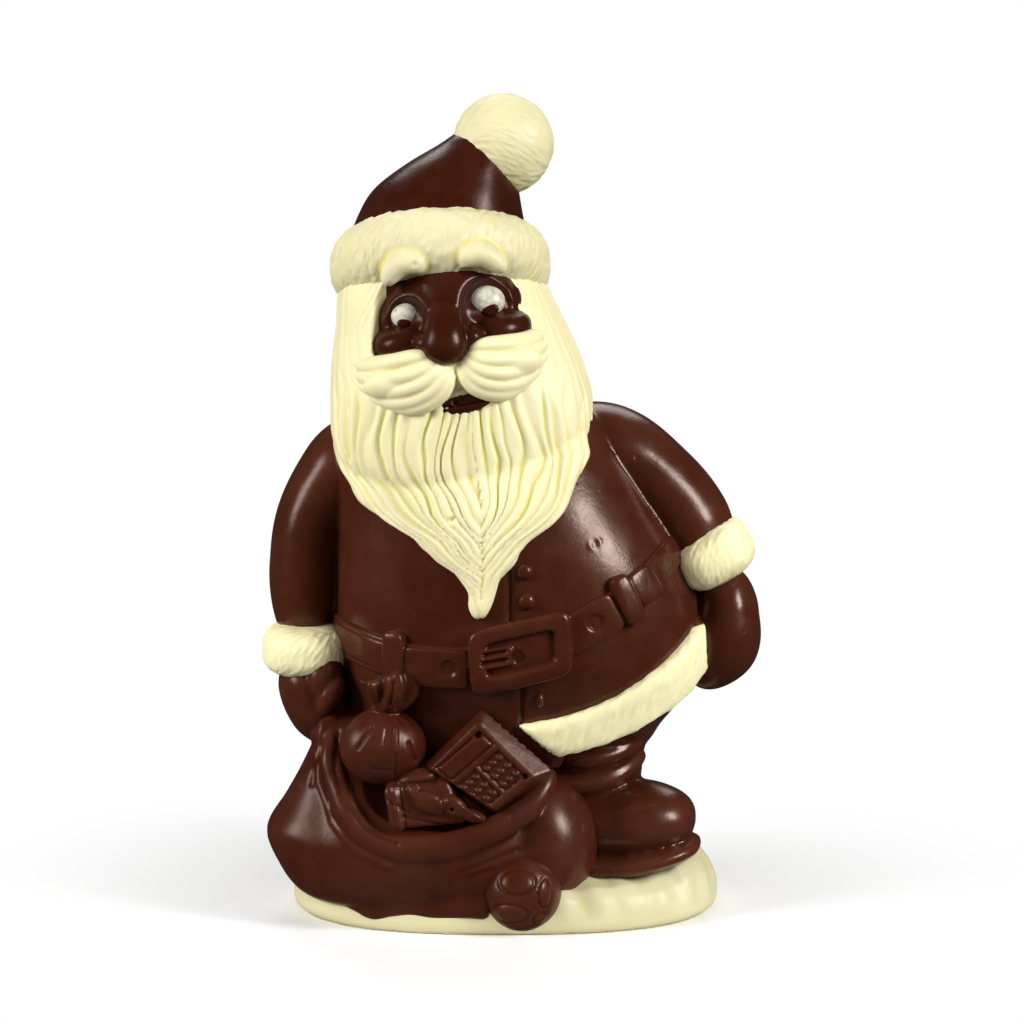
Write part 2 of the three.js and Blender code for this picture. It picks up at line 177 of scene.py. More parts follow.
def limb(name, stops, sides=48, rings=40, ends=0.3, relief=None):
    def at(angle, down):
        here = between(stops, down)
        along = between(stops, down + 0.01)[:, :3] - between(stops, down - 0.01)[:, :3]
        along /= np.linalg.norm(along, axis=1)[:, None]
        across = np.cross(along, (0, 1, 0))
        across /= np.linalg.norm(across, axis=1)[:, None]
        deep = np.cross(across, along)
        out = relief(angle, down) if relief else 0
        share = end_round(down, ends)
        wide = ((here[:, 3] + out) * share * np.cos(angle))[:, None] * across
        thick = ((here[:, 4] + out) * share * np.sin(angle))[:, None] * deep
        return here[:, :3] + wide + thick

    return net(name, sides, rings, at)


def turned(points, lean, tip):
    turn = Euler((math.radians(tip), math.radians(-lean), 0), "YXZ").to_matrix()
    return points @ np.array(turn).T


def ball(name, centre, halves, sides=40, rings=28, power=2.0, plan=2.0, lean=0.0, tip=0.0, relief=None):
    def at(angle, down):
        share = signed_power(np.sin(np.pi * down), 2 / power) * squareness(angle, plan)
        size = 1 + (relief(angle, down) if relief else 0)
        x = halves[0] * size * share * np.cos(angle)
        y = halves[1] * size * share * np.sin(angle)
        z = halves[2] * size * signed_power(np.cos(np.pi * down), 2 / power)
        return turned(np.stack([x, y, z], 1), lean, tip) + np.array(centre)

    return net(name, sides, rings, at)


# %% [markdown]
# ## Casting
# Parts of one zone overlap, as soft clay pressed together does. They are joined, and a voxel Remesh turns
# them into one skin with even faces. A Smooth modifier then rounds what the mould would round. The voxel is
# as fine as the smallest edge on that piece needs, because faces cost memory.

# %% Join, remesh and round
def cast(name, parts, voxel, rounds):
    """Melts parts into one piece, with a voxel in millimetres and this many rounds of smoothing."""
    only(parts)
    if len(parts) > 1:
        bpy.ops.object.join()
    piece = bpy.context.object
    piece.name = name
    piece.data.name = name
    remesh = piece.modifiers.new("cast", "REMESH")
    remesh.mode = "VOXEL"
    remesh.voxel_size = voxel * MM
    smooth = piece.modifiers.new("rounded", "SMOOTH")
    smooth.factor = 0.5
    smooth.iterations = rounds
    for modifier in ("cast", "rounded"):
        bpy.ops.object.modifier_apply(modifier=modifier)
    bpy.ops.object.shade_smooth()
    print(name, "has", len(piece.data.polygons), "faces")
    return piece


def edit_all(piece):
    """Starts to edit a piece, with all of it selected and its faces turned outwards."""
    only([piece])
    bpy.ops.object.mode_set(mode="EDIT")
    bpy.ops.mesh.select_all(action="SELECT")
    bpy.ops.mesh.normals_make_consistent(inside=False)


def carve(piece, cutter):
    """Takes the cutter's form out of the piece."""
    only([piece])
    cut = piece.modifiers.new("carved", "BOOLEAN")
    cut.operation = "DIFFERENCE"
    cut.object = cutter
    bpy.ops.object.modifier_apply(modifier="carved")
    bpy.data.objects.remove(cutter)
    return piece


def relieve(piece, height):
    """Raises the skin along its normals by a height that a function gives for each point."""
    points, normals = read(piece), normals_of(piece)
    return write(piece, points + normals * height(points, normals)[:, None])


def stroke(points, start, end, width):
    """1 along a line in the picture from start to end, and less to both sides of it."""
    start, along = np.array(start, float), np.subtract(end, start)
    offset = points[:, [0, 2]] - start
    share = np.clip(offset @ along / (along @ along), 0, 1)
    away = np.linalg.norm(offset - share[:, None] * along, axis=1)
    return bell(away, width)


def strokes(points, marks):
    """Raises or presses many strokes, each with its start, end, width and height."""
    return sum(height * stroke(points, start, end, width) for start, end, width, height in marks)


def trail(points, path, width):
    """The same along a path of several points."""
    return np.max([stroke(points, start, end, width) for start, end in zip(path, path[1:])], axis=0)


def neighbours_mean(piece, values, rounds):
    """The values of all vertices, evened out over their neighbours this many times."""
    edges = np.empty(len(piece.data.edges) * 2, np.int32)
    piece.data.edges.foreach_get("vertices", edges)
    edges = edges.reshape(-1, 2)
    ends = np.concatenate([edges[:, 0], edges[:, 1]])
    others = np.concatenate([edges[:, 1], edges[:, 0]])
    count = np.maximum(np.bincount(ends, minlength=len(values)), 1)[:, None]
    for _ in range(rounds):
        columns = values.T
        sums = [np.bincount(ends, weights=column[others], minlength=len(values)) for column in columns]
        values = 0.5 * values + 0.5 * np.stack(sums, 1) / count
    return values


def mark_hollows(piece, rounds, reach):
    """Stores how deep each vertex lies in a groove, from 0 on ridges to 1, for the materials to read."""
    points, normals = read(piece), normals_of(piece)
    depth = np.einsum("ij,ij->i", neighbours_mean(piece, points, rounds) - points, normals)
    depth = neighbours_mean(piece, np.clip(depth / reach, -1, 1)[:, None], 2)[:, 0]
    attribute = piece.data.attributes.new("hollow", "FLOAT", "POINT")
    attribute.data.foreach_set("value", (0.5 + 0.5 * depth).astype(np.float32))
    return piece


# %% [markdown]
# ## Strokes of fur
# The mould has short slanted nicks where the fur is. Each stroke is a small ridge: it starts at a random
# place on the piece, follows the lie of the fur there, and raises the vertices near it. The random numbers
# are seeded, so the same coat of fur comes out each time.

# %% Fur
def fur(piece, count, lie, seed, length, width, depth, keep=None):
    """Raises strokes along the direction that lie(point, normal) gives, leaving smooth gaps between them."""
    points, normals = read(piece), normals_of(piece)
    tree = KDTree(len(points))
    for index, point in enumerate(points):
        tree.insert(point, index)
    tree.balance()
    draw = random.Random(seed)
    height = np.zeros(len(points))
    for _ in range(count):
        index = draw.randrange(len(points))
        centre, normal = points[index], normals[index]
        size = draw.uniform(0.7, 1.3)
        slant = draw.gauss(0, 0.16)
        if keep is not None and not keep(centre):
            continue
        along = np.asarray(lie(centre, normal), float)
        along -= normal * along.dot(normal)
        along /= np.linalg.norm(along) + 1e-9
        across = np.cross(normal, along)
        along = along + slant * across
        across = np.cross(normal, along)
        near = np.array([found[1] for found in tree.find_range(centre, 2.2 * length * size)])
        offset = points[near] - centre
        run, side = offset @ along / (length * size), offset @ across / width
        bump = depth * size * np.exp(-(run**2) - side**2) * (normals[near] @ normal > 0.2)
        height[near] = np.maximum(height[near], bump)
    return write(piece, points + normals * (height - 0.4 * depth)[:, None])


# %% [markdown]
# ## The figure's measures
# Heights, places and half widths are in millimetres, from the same named rows as the solid model: X runs to
# the viewer's right, Y away, Z up from the table. The head leans ten degrees to the viewer's left.
#
# A standing body has one row for each level: its height, the X and Y of its middle, and its half sizes across
# and deep. A limb, further on, has one row for each stop on its path: X, Y and Z, then the two half sizes.
# A line in the picture has X and Z only.

# %% Measures
HEAD_TILT = 10
TORSO = [
    (107, -10, 0.6, 15, 13),
    (99, -8.5, 0.8, 24.5, 18.8),
    (91, -6.5, 1, 28.5, 23),
    (82, -3.5, 1, 31, 26.8),
    (72, -0.5, 1, 34, 29.2),
    (61, 1.5, 1, 36.2, 30),
    (51, 2.2, 1, 36.4, 29.4),
    (43, 2.4, 1.6, 35.8, 27),
    (35, 2.4, 2.2, 34.8, 25),
    (24, 2.4, 2.4, 33, 23.4),
]
HAT = [
    (154, -3.4, 1.5, 5.6, 6),
    (150.6, -6.4, 1.4, 6.8, 7.6),
    (146, -10.2, 1.2, 10.6, 11.4),
    (141.4, -12.7, 1, 14, 14.6),
    (136.6, -13.8, 0.8, 15.9, 17),
    (131.6, -14.1, 0.6, 17.2, 18.8),
    (124, -14, 0.6, 17.8, 19.6),
    (108, -14, 1.4, 16, 17),
]
HAIR = [
    (136, -14, 0.6, 16, 17),
    (129, -14, 0.6, 18, 18.4),
    (122, -13.3, 0.6, 20.6, 21.6),
    (115, -11.8, -0.4, 22.6, 23.2),
    (108, -10.6, -1.4, 24.6, 24),
    (101, -9.8, -2.4, 25.6, 24.4),
    (94, -9.8, -4, 25.2, 23.4),
    (89, -10, -7, 22.4, 20.4),
    (84, -10, -11, 16, 15),
    (78, -9, -15, 9, 10),
    (72, -7, -18, 4, 6),
]
SACK = [
    (41, -30, -9, 7, 8),
    (36, -27.5, -9, 11.5, 10.5),
    (30, -21, -9.2, 19.6, 13.4),
    (24, -16.4, -9.6, 27.4, 17.2),
    (17.5, -15.6, -10, 32, 19.6),
    (11, -15.2, -10, 30.6, 19.4),
    (6, -14.6, -9.6, 27.6, 17.4),
    (2.6, -14, -9, 22, 14),
]
HAIR_ENDS = 0.073
HEM_UPPER = [(-46, 43), (-14, 41.4), (2.1, 41.3), (16.8, 45.3), (26.5, 50.7), (35, 57.7), (46, 69)]
HEM_LOWER = [(-46, 34), (-14, 33), (4, 33.7), (13, 35.3), (22.7, 38.6), (32.5, 44.2), (38, 50.7), (46, 61)]
BELT_LINE = [
    (-46, 57),
    (-31.5, 55),
    (-20, 53.2),
    (-9, 53.3),
    (1.3, 56.3),
    (11.3, 59.8),
    (20, 64.2),
    (28.4, 70.6),
    (46, 86),
]


# %% Where a body's skin is
def line(points, x):
    """The height of a line in the picture at x."""
    steps = between(points, np.linspace(0, 1, 200))
    return np.interp(x, steps[:, 0], steps[:, 1])


def section(rows, z):
    """Centre and half sizes of a standing body at a height."""
    table = np.linspace(0, 1, 600)
    heights = between(rows, table)[:, 0]
    down = np.interp(-np.asarray(z, float), -heights, table)
    _, x, y, half_x, half_y = between(rows, down).T
    share = end_round(down, BODY_ENDS)
    return x, y, half_x * share, half_y * share


def front(rows, x, z):
    """How far forward a standing body's skin is at a place in the picture."""
    x, z = np.atleast_1d(x).astype(float), np.atleast_1d(z).astype(float)
    centre_x, centre_y, half_x, half_y = section(rows, z)
    side = np.clip(np.abs(x - centre_x) / np.maximum(half_x, 0.1), 0, 0.985)
    return centre_y - half_y * (1 - side**BODY_POWER) ** (1 / BODY_POWER)


def on_coat(x, z, lift):
    """Points on the coat's front, raised square to it."""
    x, z = np.broadcast_arrays(np.atleast_1d(x).astype(float), np.atleast_1d(z).astype(float))
    y = front(TORSO, x, z)
    step = 0.5
    slope_x = (front(TORSO, x + step, z) - front(TORSO, x - step, z)) / (2 * step)
    slope_z = (front(TORSO, x, z + step) - front(TORSO, x, z - step)) / (2 * step)
    normal = np.stack([slope_x, -np.ones_like(x), slope_z], 1)
    normal /= np.linalg.norm(normal, axis=1)[:, None]
    return np.stack([x, y, z], 1) + normal * np.atleast_1d(lift)[:, None]


print("the belly is furthest forward at", round(float(front(TORSO, 1.5, 61)[0]), 1), "mm")


# %% [markdown]
# ## Shader maths
# A small class wraps a node's output, so that shader maths reads as plain arithmetic. Every other node
# comes from one method that takes its type, its settings and its inputs.

# %% Nodes as expressions
class Wire:
    """One node's output in a material."""

    def __init__(self, tree, socket):
        self.tree = tree
        self.socket = socket

    def maths(self, operation, first, second):
        return add_node(self.tree, "ShaderNodeMath", {"operation": operation}, {0: first, 1: second})

    def __add__(self, other):
        return self.maths("ADD", self, other)

    def __radd__(self, other):
        return self.maths("ADD", other, self)

    def __sub__(self, other):
        return self.maths("SUBTRACT", self, other)

    def __rsub__(self, other):
        return self.maths("SUBTRACT", other, self)

    def __mul__(self, other):
        return self.maths("MULTIPLY", self, other)

    def __rmul__(self, other):
        return self.maths("MULTIPLY", other, self)


def add_node(tree, kind, settings=None, inputs=None, out=0):
    made = tree.nodes.new(kind)
    for setting, value in (settings or {}).items():
        setattr(made, setting, value)
    for socket, value in (inputs or {}).items():
        if isinstance(value, Wire):
            tree.links.new(value.socket, made.inputs[socket])
        else:
            made.inputs[socket].default_value = value
    return Wire(tree, made.outputs[out])


def ramp(tree, value, low, high):
    """0 below low and 1 above high, soft between them."""
    return add_node(
        tree,
        "ShaderNodeMapRange",
        {"interpolation_type": "SMOOTHSTEP"},
        {"Value": value, "From Min": low, "From Max": high},
    )


def noise(tree, place, scale, detail=3.0):
    return add_node(tree, "ShaderNodeTexNoise", None, {"Vector": place, "Scale": scale, "Detail": detail})


def mixed(tree, factor, first, second, blend="MIX"):
    """The second colour over the first. Each is three numbers or another node's output."""
    first, second = (colour if isinstance(colour, Wire) else (*colour, 1) for colour in (first, second))
    settings = {"data_type": "RGBA", "blend_type": blend}
    return add_node(tree, "ShaderNodeMix", settings, {"Factor": factor, 6: first, 7: second}, out=2)


def bumped(tree, height, strength, distance):
    inputs = {"Strength": strength, "Distance": distance, "Height": height}
    return add_node(tree, "ShaderNodeBump", None, inputs)


def stored_depth(tree):
    """The depth in a groove that mark_hollows has stored: 0 on ridges, 1 in the deepest grooves."""
    return add_node(tree, "ShaderNodeAttribute", {"attribute_name": "hollow"}, out="Fac")


def toned(tone, *colours):
    """Colours made lighter or darker."""
    return [tuple(tone * part for part in colour) for colour in colours]


def start_material(name):
    material = bpy.data.materials.new(name)
    material.use_nodes = True
    tree = material.node_tree
    tree.nodes.clear()
    place = add_node(tree, "ShaderNodeTexCoord", out="Object")
    return material, tree, place


def add_output(tree, kind, shader):
    output = tree.nodes.new(kind)
    tree.links.new(shader.socket, output.inputs["Surface"])


def finish_material(tree, inputs):
    shader = add_node(tree, "ShaderNodeBsdfPrincipled", None, inputs)
    add_output(tree, "ShaderNodeOutputMaterial", shader)


# %% [markdown]
# ## Dark chocolate
# Tempered chocolate is a deep brown with a soft gloss, never a mirror: the mould leaves faint waves, and
# small air bubbles leave pits. The brown varies a little where the layer is thinner, and the gloss is uneven
# where fingers and air have touched it. Grooves are painted darker, as painted shade, and ridges are made a
# little lighter, both from the stored groove depth.

# %% Dark chocolate
DARK_DEEP = (0.041, 0.0068, 0.0022)
DARK_MILKY_AND_LIT = (0.066, 0.0165, 0.0078)
# a lighter colour for ridges, and painted shade for grooves
DARK_RIDGE_TINT = (0.10, 0.036, 0.022)
DARK_GROOVE_SHADE = (0.016, 0.0036, 0.002)
BLACK = (0, 0, 0)
WARM_GLOSS = (1.0, 0.78, 0.68, 1)


def dark_chocolate(name, painted_lightness, roughness=0.25, pits=0.5, shine=0.4, tone=1.0):
    material, tree, place = start_material(name)
    broad = noise(tree, place, 55.0)
    cloud = noise(tree, place, 210.0, 4.0)
    fine = noise(tree, place, 1900.0)
    cells = add_node(tree, "ShaderNodeTexVoronoi", None, {"Vector": place, "Scale": 190.0})
    speck = noise(tree, place, 60.0, 1.0)
    hollow = stored_depth(tree)
    pit = (1 - ramp(tree, cells, 0.05, 0.15)) * ramp(tree, speck, 0.52, 0.62) * pits
    # Noise gives the brown its random variation. The lightness and the tone shift the whole copy lighter or
    # darker, as painted light and shade for its zone.
    milk_and_painted_light = ramp(tree, broad * 0.6 + cloud * 0.4, 0.35, 0.68) * 0.7 + (painted_lightness - 0.35)
    deep, milky = toned(tone, DARK_DEEP, DARK_MILKY_AND_LIT)
    ground = mixed(tree, milk_and_painted_light, deep, milky)
    # Ridges are made a little lighter, from the stored groove depth.
    raised = mixed(tree, ramp(tree, hollow, 0.62, 0.2) * 0.25, BLACK, DARK_RIDGE_TINT)
    colour = mixed(tree, 0.35, ground, raised, "ADD")
    # Grooves are painted darker from the stored groove depth: painted shade.
    shaded = mixed(tree, ramp(tree, hollow, 0.56, 0.9) * 0.55, colour, DARK_GROOVE_SHADE)
    height = fine * 0.10 + cloud * 0.55 + broad * 0.9 - pit * 1.1
    gloss = cloud * 0.22 + (roughness - 0.11) + pit * 0.1
    finish_material(
        tree,
        {
            "Base Color": shaded,
            "Roughness": gloss,
            "Normal": bumped(tree, height, 0.5, 0.00035),
            "IOR": 1.5,
            "Specular IOR Level": shine,
            "Specular Tint": WARM_GLOSS,
        },
    )
    return material


# %% [markdown]
# ## White chocolate
# White chocolate is ivory and lets some light in. Its grooves are painted a warmer, yellower colour than
# its ridges, as painted shade for the light that scatters in them. The groove colour comes from the stored
# depth, which the geometry gives.

# %% White chocolate
WHITE_RIDGE = (0.87, 0.80, 0.46)
# the groove colour is painted shade
WHITE_GROOVE_SHADE = (0.76, 0.68, 0.20)
WHITE_PALE = (0.89, 0.82, 0.51)


def white_chocolate(name, tone, groove_shade=0.8):
    material, tree, place = start_material(name)
    broad = noise(tree, place, 70.0)
    cloud = noise(tree, place, 330.0, 4.0)
    fine = noise(tree, place, 2200.0, 2.0)
    # The tone makes each zone's copy lighter or darker: painted light and shade.
    ridge, pale = toned(tone, WHITE_RIDGE, WHITE_PALE)
    ground = mixed(tree, ramp(tree, broad, 0.35, 0.7), ridge, pale)
    # Grooves are painted warmer and yellower from the stored depth: painted shade.
    colour = mixed(tree, ramp(tree, stored_depth(tree), 0.5, 0.85) * groove_shade, ground, WHITE_GROOVE_SHADE)
    height = fine * 0.12 + cloud * 0.5 + broad * 0.4
    finish_material(
        tree,
        {
            "Base Color": colour,
            "Roughness": cloud * 0.2 + 0.36,
            "Normal": bumped(tree, height, 0.4, 0.00025),
            "IOR": 1.45,
            "Subsurface Weight": 0.22,
            "Subsurface Radius": (1.0, 0.8, 0.35),
            "Subsurface Scale": 0.0016,
        },
    )
    return material


# %% The two chocolates
# The real figure is one dark and one white chocolate. Each zone's copy is made lighter or darker, as painted
# light and shade for how the lamps fall on it: the coat, boots and mittens lighter, the face and hat darker.
COAT_DARK_LIT = dark_chocolate("dark chocolate of the coat, with painted light", painted_lightness=0.68)
LEG_DARK_LIT = dark_chocolate("dark chocolate of the boots and mittens, with painted light", painted_lightness=0.7)
FACE_DARK_SHADED = dark_chocolate(
    "dark chocolate of the face and hat, with painted shade", painted_lightness=0.05, roughness=0.27, pits=0.25, shine=0.27, tone=0.78
)
SACK_DARK = dark_chocolate("dark chocolate of the sack", painted_lightness=0.38, roughness=0.32)
IVORY = white_chocolate("white chocolate", tone=0.99, groove_shade=0.95)
# The hat's fur and the snow are painted darker, as painted shade, and the hem and cuffs lighter, as painted
# light.
HAT_IVORY_SHADED = white_chocolate("white chocolate of the hat's fur, with painted shade", tone=0.86)
TRIM_IVORY_LIT = white_chocolate("white chocolate of the hem and cuffs, with painted light", tone=1.1)
SNOW_IVORY_SHADED = white_chocolate("white chocolate of the snow, with painted shade", tone=0.72)


def finish_piece(piece, material, reach=0.25, rounds=10):
    """Gives a finished piece its grooves' depth, its chocolate and its place on the figure."""
    mark_hollows(piece, rounds, reach)
    piece.data.materials.clear()
    piece.data.materials.append(material)
    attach(piece, "root")
    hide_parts("chocolate_santa")
    low, high = read(piece).min(0).round(1), read(piece).max(0).round(1)
    print(piece.name, "from", low.tolist(), "to", high.tolist(), len(piece.data.polygons) * 2, "triangles")
    return piece


def finish_fur(piece, material):
    """The same for fur, whose grooves are narrower and shallower."""
    return finish_piece(piece, material, reach=0.12, rounds=6)


# %% [markdown]
# ## The snow base
# The snow is a low, flat-bottomed cushion with drifts on its top, and it is higher beside the boot on the
# viewer's right. The dark chocolate that has run over its rim belongs to the sack and is made with it.

# %% Snow base
BASE_CENTRE_X, BASE_HALF_X, BASE_HALF_Y, BASE_POWER = -1.3, 42.0, 27.7, 2.5
BASE_TOP, BASE_FLAT = 9.5, 0.35
# each row, from the middle of the top round to the middle below: share of the way out, height
BASE_PROFILE = [
    (0, BASE_TOP),
    (0.35, BASE_TOP),
    (0.7, 9.3),
    (0.9, 8.4),
    (0.965, 6.6),
    (0.995, 4.4),
    (1, 2.4),
    (0.985, 0.8),
    (0.94, 0),
    (0, 0),
]
SNOW_HUMP = 2.6


def snow_net(angle, down):
    profile = np.array(BASE_PROFILE)
    share = np.interp(down, np.linspace(0, 1, len(profile)), profile[:, 0])
    z = np.interp(down, np.linspace(0, 1, len(profile)), profile[:, 1])
    reach = squareness(angle, BASE_POWER)
    x = BASE_CENTRE_X + BASE_HALF_X * reach * share * np.cos(angle)
    y = BASE_HALF_Y * reach * share * np.sin(angle)
    hump = SNOW_HUMP * smoothstep(19, 33, x) * (1 - 0.7 * smoothstep(35, 41, x)) * smoothstep(-27, -10, y)
    hump *= smoothstep(0.3, 0.95, z / BASE_TOP)
    return np.stack([x, y, z + hump], 1)


def drifts(points, normals):
    """Waves over the top of the snow, and ledges down its side."""
    x, y, z = points.T
    waves = 0.5 * np.sin(0.31 * x + 0.7) * np.cos(0.23 * y) + 0.3 * np.sin(0.83 * x + 0.5 * y) - 0.2
    ledges = 0.35 * np.sin(0.55 * z + 0.21 * x + 1.3 * np.sin(0.19 * x))
    return np.minimum(waves + ledges, 0.3) * smoothstep(1.5, 6, z)


snow_base = cast("snow_base", [net("snow", 160, 60, snow_net)], voxel=0.6, rounds=2)
relieve(snow_base, drifts)
snow_points = read(snow_base)
snow_points[:, 2] = np.where(snow_points[:, 2] < BASE_FLAT, 0, snow_points[:, 2])
write(snow_base, snow_points)
finish_piece(snow_base, SNOW_IVORY_SHADED)

# %% [markdown]
# ## Trousers and boots
# The leg beside the sack shows: a short trouser leg with folds, and a boot that points outwards with a
# round toe and a thick sole. The other leg is made in the same way, behind the sack.

# %% Trousers and boots
LEGS = [
    [
        (19.4, 1, 52, 17.4, 25),
        (18, 1, 44, 15.6, 22.4),
        (16.6, 0.4, 38.4, 12.6, 17),
        (15.4, -0.4, 33.6, 11.2, 13.4),
        (15, -1.6, 27, 10.6, 12),
        (15, -2, 18, 9.6, 10),
    ],
    [
        (-12, 2.4, 46, 17, 20),
        (-13.6, 3.4, 36, 11.4, 13),
        (-14, 4, 27, 10.4, 11),
        (-14, 4, 17, 9.4, 10),
    ],
]
BOOTS = [
    [
        (5, 0, 17.4, 7.4, 9.4),
        (15.4, -4.6, 17.8, 7.8, 11),
        (26, -8.6, 18.8, 7.4, 10.8),
        (35.8, -11, 19.6, 6.4, 9),
    ],
    [(-8, 10, 16, 6.6, 8.6), (-18, 5.4, 16, 7, 9.6), (-28, 1, 16, 6.6, 8.6)],
]
SOLES = [
    [
        (4, 0, 10.0, 3.2, 9.8),
        (14, -4.8, 10.2, 3.3, 12),
        (24.6, -8.6, 11.4, 3.2, 11.8),
        (37, -11, 14.4, 2.8, 9.4),
    ],
    [(-7, 10.4, 11, 2.2, 9), (-18, 5.4, 11, 2.3, 10.6), (-29.4, 0.6, 11, 2.2, 9)],
]
BOOT_FOLDS = [
    [(2, -8, 28.4), (12, -11.6, 26.4), (20, -9.8, 27.6), (26, -4, 31)],
    [(6, -9.4, 33.4), (14, -12.2, 31.6), (21, -9.4, 32.6), (26, -3, 35)],
    [(4, -15, 38), (12, -16, 36.8), (20, -12.6, 38.2), (28, -5, 41.6)],
]
FOLD_HALVES = (2.2, 2.8)


def legwear(points, normals):
    """Shallow waves in the trouser leg, above the boot's shaft."""
    x, y, z = points.T
    trouser = smoothstep(35, 38, z)
    return trouser * 0.4 * np.sin(0.5 * (x - 0.9 * z) + 0.6)


leg_parts = [limb("leg", stops, 64, 56, ends=0.1) for stops in LEGS]
leg_parts += [limb("boot", stops, ends=0.36) for stops in BOOTS]
leg_parts += [limb("sole", stops) for stops in SOLES]
for path in BOOT_FOLDS:
    leg_parts.append(limb("fold", [(*place, *FOLD_HALVES) for place in path], 24, 40, ends=0.4))
leg_parts.append(ball("filling", (0, 1, 22), (17, 11, 20)))
boots = relieve(cast("trousers_and_boots", leg_parts, voxel=0.5, rounds=4), legwear)
finish_piece(boots, LEG_DARK_LIT)

# %% [markdown]
# ## The coat
# The coat is a round belly with two sleeves. Both sleeves melt into the body behind, where the mould has no
# way through. A groove runs down the front where the coat closes.

# %% Coat
NEAR_ARM = [
    (-26, 3, 94, 9, 10),
    (-33.6, 1.6, 86, 8, 10),
    (-38.8, 0.6, 77, 7.4, 9.6),
    (-40.6, 0, 67, 7, 9.4),
    (-40.6, -1.6, 52, 7.2, 9.6),
]
FAR_ARM = [
    (4, 3, 90, 9.6, 11),
    (18.4, 2, 90.4, 9, 11),
    (27.6, 1, 84.2, 8.8, 10.4),
    (34.5, 0, 76.2, 8.5, 10),
    (39.8, -2, 65, 7.2, 9.6),
]
# each button: x, z and its half sizes; each seam: x, from and to which height
BUTTONS = [(2.4, 71.6, 1.6, 1.6), (2.8, 66, 1.65, 1.65), (5.3, 46.6, 0.9, 1.5)]
SEAMS = [(-0.4, 60, 77), (1.9, 40, 52)]
SEAM_DEPTH, SEAM_WIDTH = 0.8, 0.42
BELLY_MARK = (15.8, 76.2)
COVERED_FROM, BOX_FROM, BOX_EDGE = -33, -9, ((-5.7, 46.8), (7.6, 35.4))
COAT_ABOVE_HEM, COAT_BEHIND_SACK, SACK_SHADE = 2, 5, 1.6


def covered(x, y, z):
    """1 where the sack and its presents hide the coat's lower edge, up to the slanted edge of the box."""
    (left, top), (right, bottom) = BOX_EDGE
    edge = top + (x - left) * (bottom - top) / (right - left)
    behind = np.where(x < BOX_FROM, 1, smoothstep(-0.3, 0.3, edge - z))
    return smoothstep(COVERED_FROM - 3, COVERED_FROM, x) * behind * (y < 0)


def coat_relief(points, normals):
    """The seam, above and below the belt, and a small round mark on the belly."""
    x, y, z = points.T
    facing = smoothstep(0.1, 0.5, -normals[:, 1])
    height = np.zeros(len(points))
    for seam, low, high in SEAMS:
        within = smoothstep(low - 1, low, z) * (1 - smoothstep(high - 1, high, z))
        height -= SEAM_DEPTH * bell(x - seam, SEAM_WIDTH) * within
    away = np.hypot(x - BELLY_MARK[0], z - BELLY_MARK[1])
    broken = 0.5 + 0.5 * np.sin(2 * np.arctan2(z - BELLY_MARK[1], x - BELLY_MARK[0]) + 0.6)
    height += 0.16 * broken * bell(away - 1.0, 0.35) - 0.1 * bell(away, 0.7)
    return height * facing


body = standing("body", TORSO, 160, 120)
body_points = read(body)
body_x, body_y, body_z = body_points.T
hem_end = line(HEM_LOWER, body_x) + COAT_ABOVE_HEM
hem_end -= COAT_BEHIND_SACK * covered(body_x - SACK_SHADE, body_y, hem_end - COAT_ABOVE_HEM)
body_points[:, 2] = np.maximum(body_z, hem_end)
write(body, body_points)
sleeves = [limb("sleeve", stops, 64, 64, ends=0.25) for stops in (NEAR_ARM, FAR_ARM)]
webs = [ball("web", (-33, 5, 62), (7.4, 8, 28)), ball("web", (34, 5, 66), (8, 7.6, 19))]
coat = cast("coat", [body, *sleeves, *webs], voxel=0.5, rounds=3)
relieve(coat, coat_relief)
buttons = []
for x, z, half_x, half_z in BUTTONS:
    centre = on_coat(x, z, 0.1)[0]
    buttons.append(ball("button", centre, (half_x, 1.3, half_z), 24, 16))
buttons = cast("coat_buttons", buttons, voxel=0.22, rounds=2)
finish_piece(coat, COAT_DARK_LIT)
finish_piece(buttons, COAT_DARK_LIT)


# %% [markdown]
# ## The belt
# The belt goes all the way round, and rises to the viewer's right as the belly swings. It is a ring with a
# flat section that follows the coat. Its two loops, its buckle and its tongue are plates laid on the belly.

# %% Belt
BELT_HALF, BELT_THICK = 3.9, 0.95
# each hole: x, z, radius; each slot: its two ends
BELT_HOLES = [(-12.1, 52.8, 1.5), (15.9, 61.9, 1.5), (1.1, 55.5, 1.2)]
TONGUE_SLOTS = [((-5.2, 55.9), (-1.4, 56.8)), ((-5.6, 54.3), (-1.2, 55.1))]
HOLE_DEPTH, SLOT_WIDTH = 0.9, 0.42
BUCKLE_CENTRE, BUCKLE_TURN, BUCKLE_SKEW = (1.6, 56.4), 13, 0.16


def on_torso(angle, upper, lower, rise, out):
    """Points on the coat all round: rise goes from 0 at the lower line to 1 at the upper, out is the lift."""
    z = np.full_like(angle, 55.0)
    for _ in range(6):
        centre_x, centre_y, half_x, half_y = section(TORSO, z)
        reach = squareness(angle, BODY_POWER)
        x = centre_x + half_x * reach * np.cos(angle)
        z = line(lower, x) * (1 - rise) + line(upper, x) * rise
    y = centre_y + half_y * reach * np.sin(angle)
    away = np.stack([np.cos(angle) / half_x, np.sin(angle) / half_y, np.zeros_like(angle)], 1)
    away /= np.linalg.norm(away, axis=1)[:, None]
    return np.stack([x, y, z], 1) + away * out[:, None]


def band_net(upper, lower, inner, outer, corner):
    """The net of a band round the coat, with its section rounded at the corners."""

    def at(angle, turn):
        reach = squareness(turn, corner)
        rise = 0.5 + 0.5 * reach * np.sin(turn)
        out = inner + (outer - inner) * (0.5 + 0.5 * reach * np.cos(turn))
        return on_torso(angle, upper, lower, rise, out)

    return at


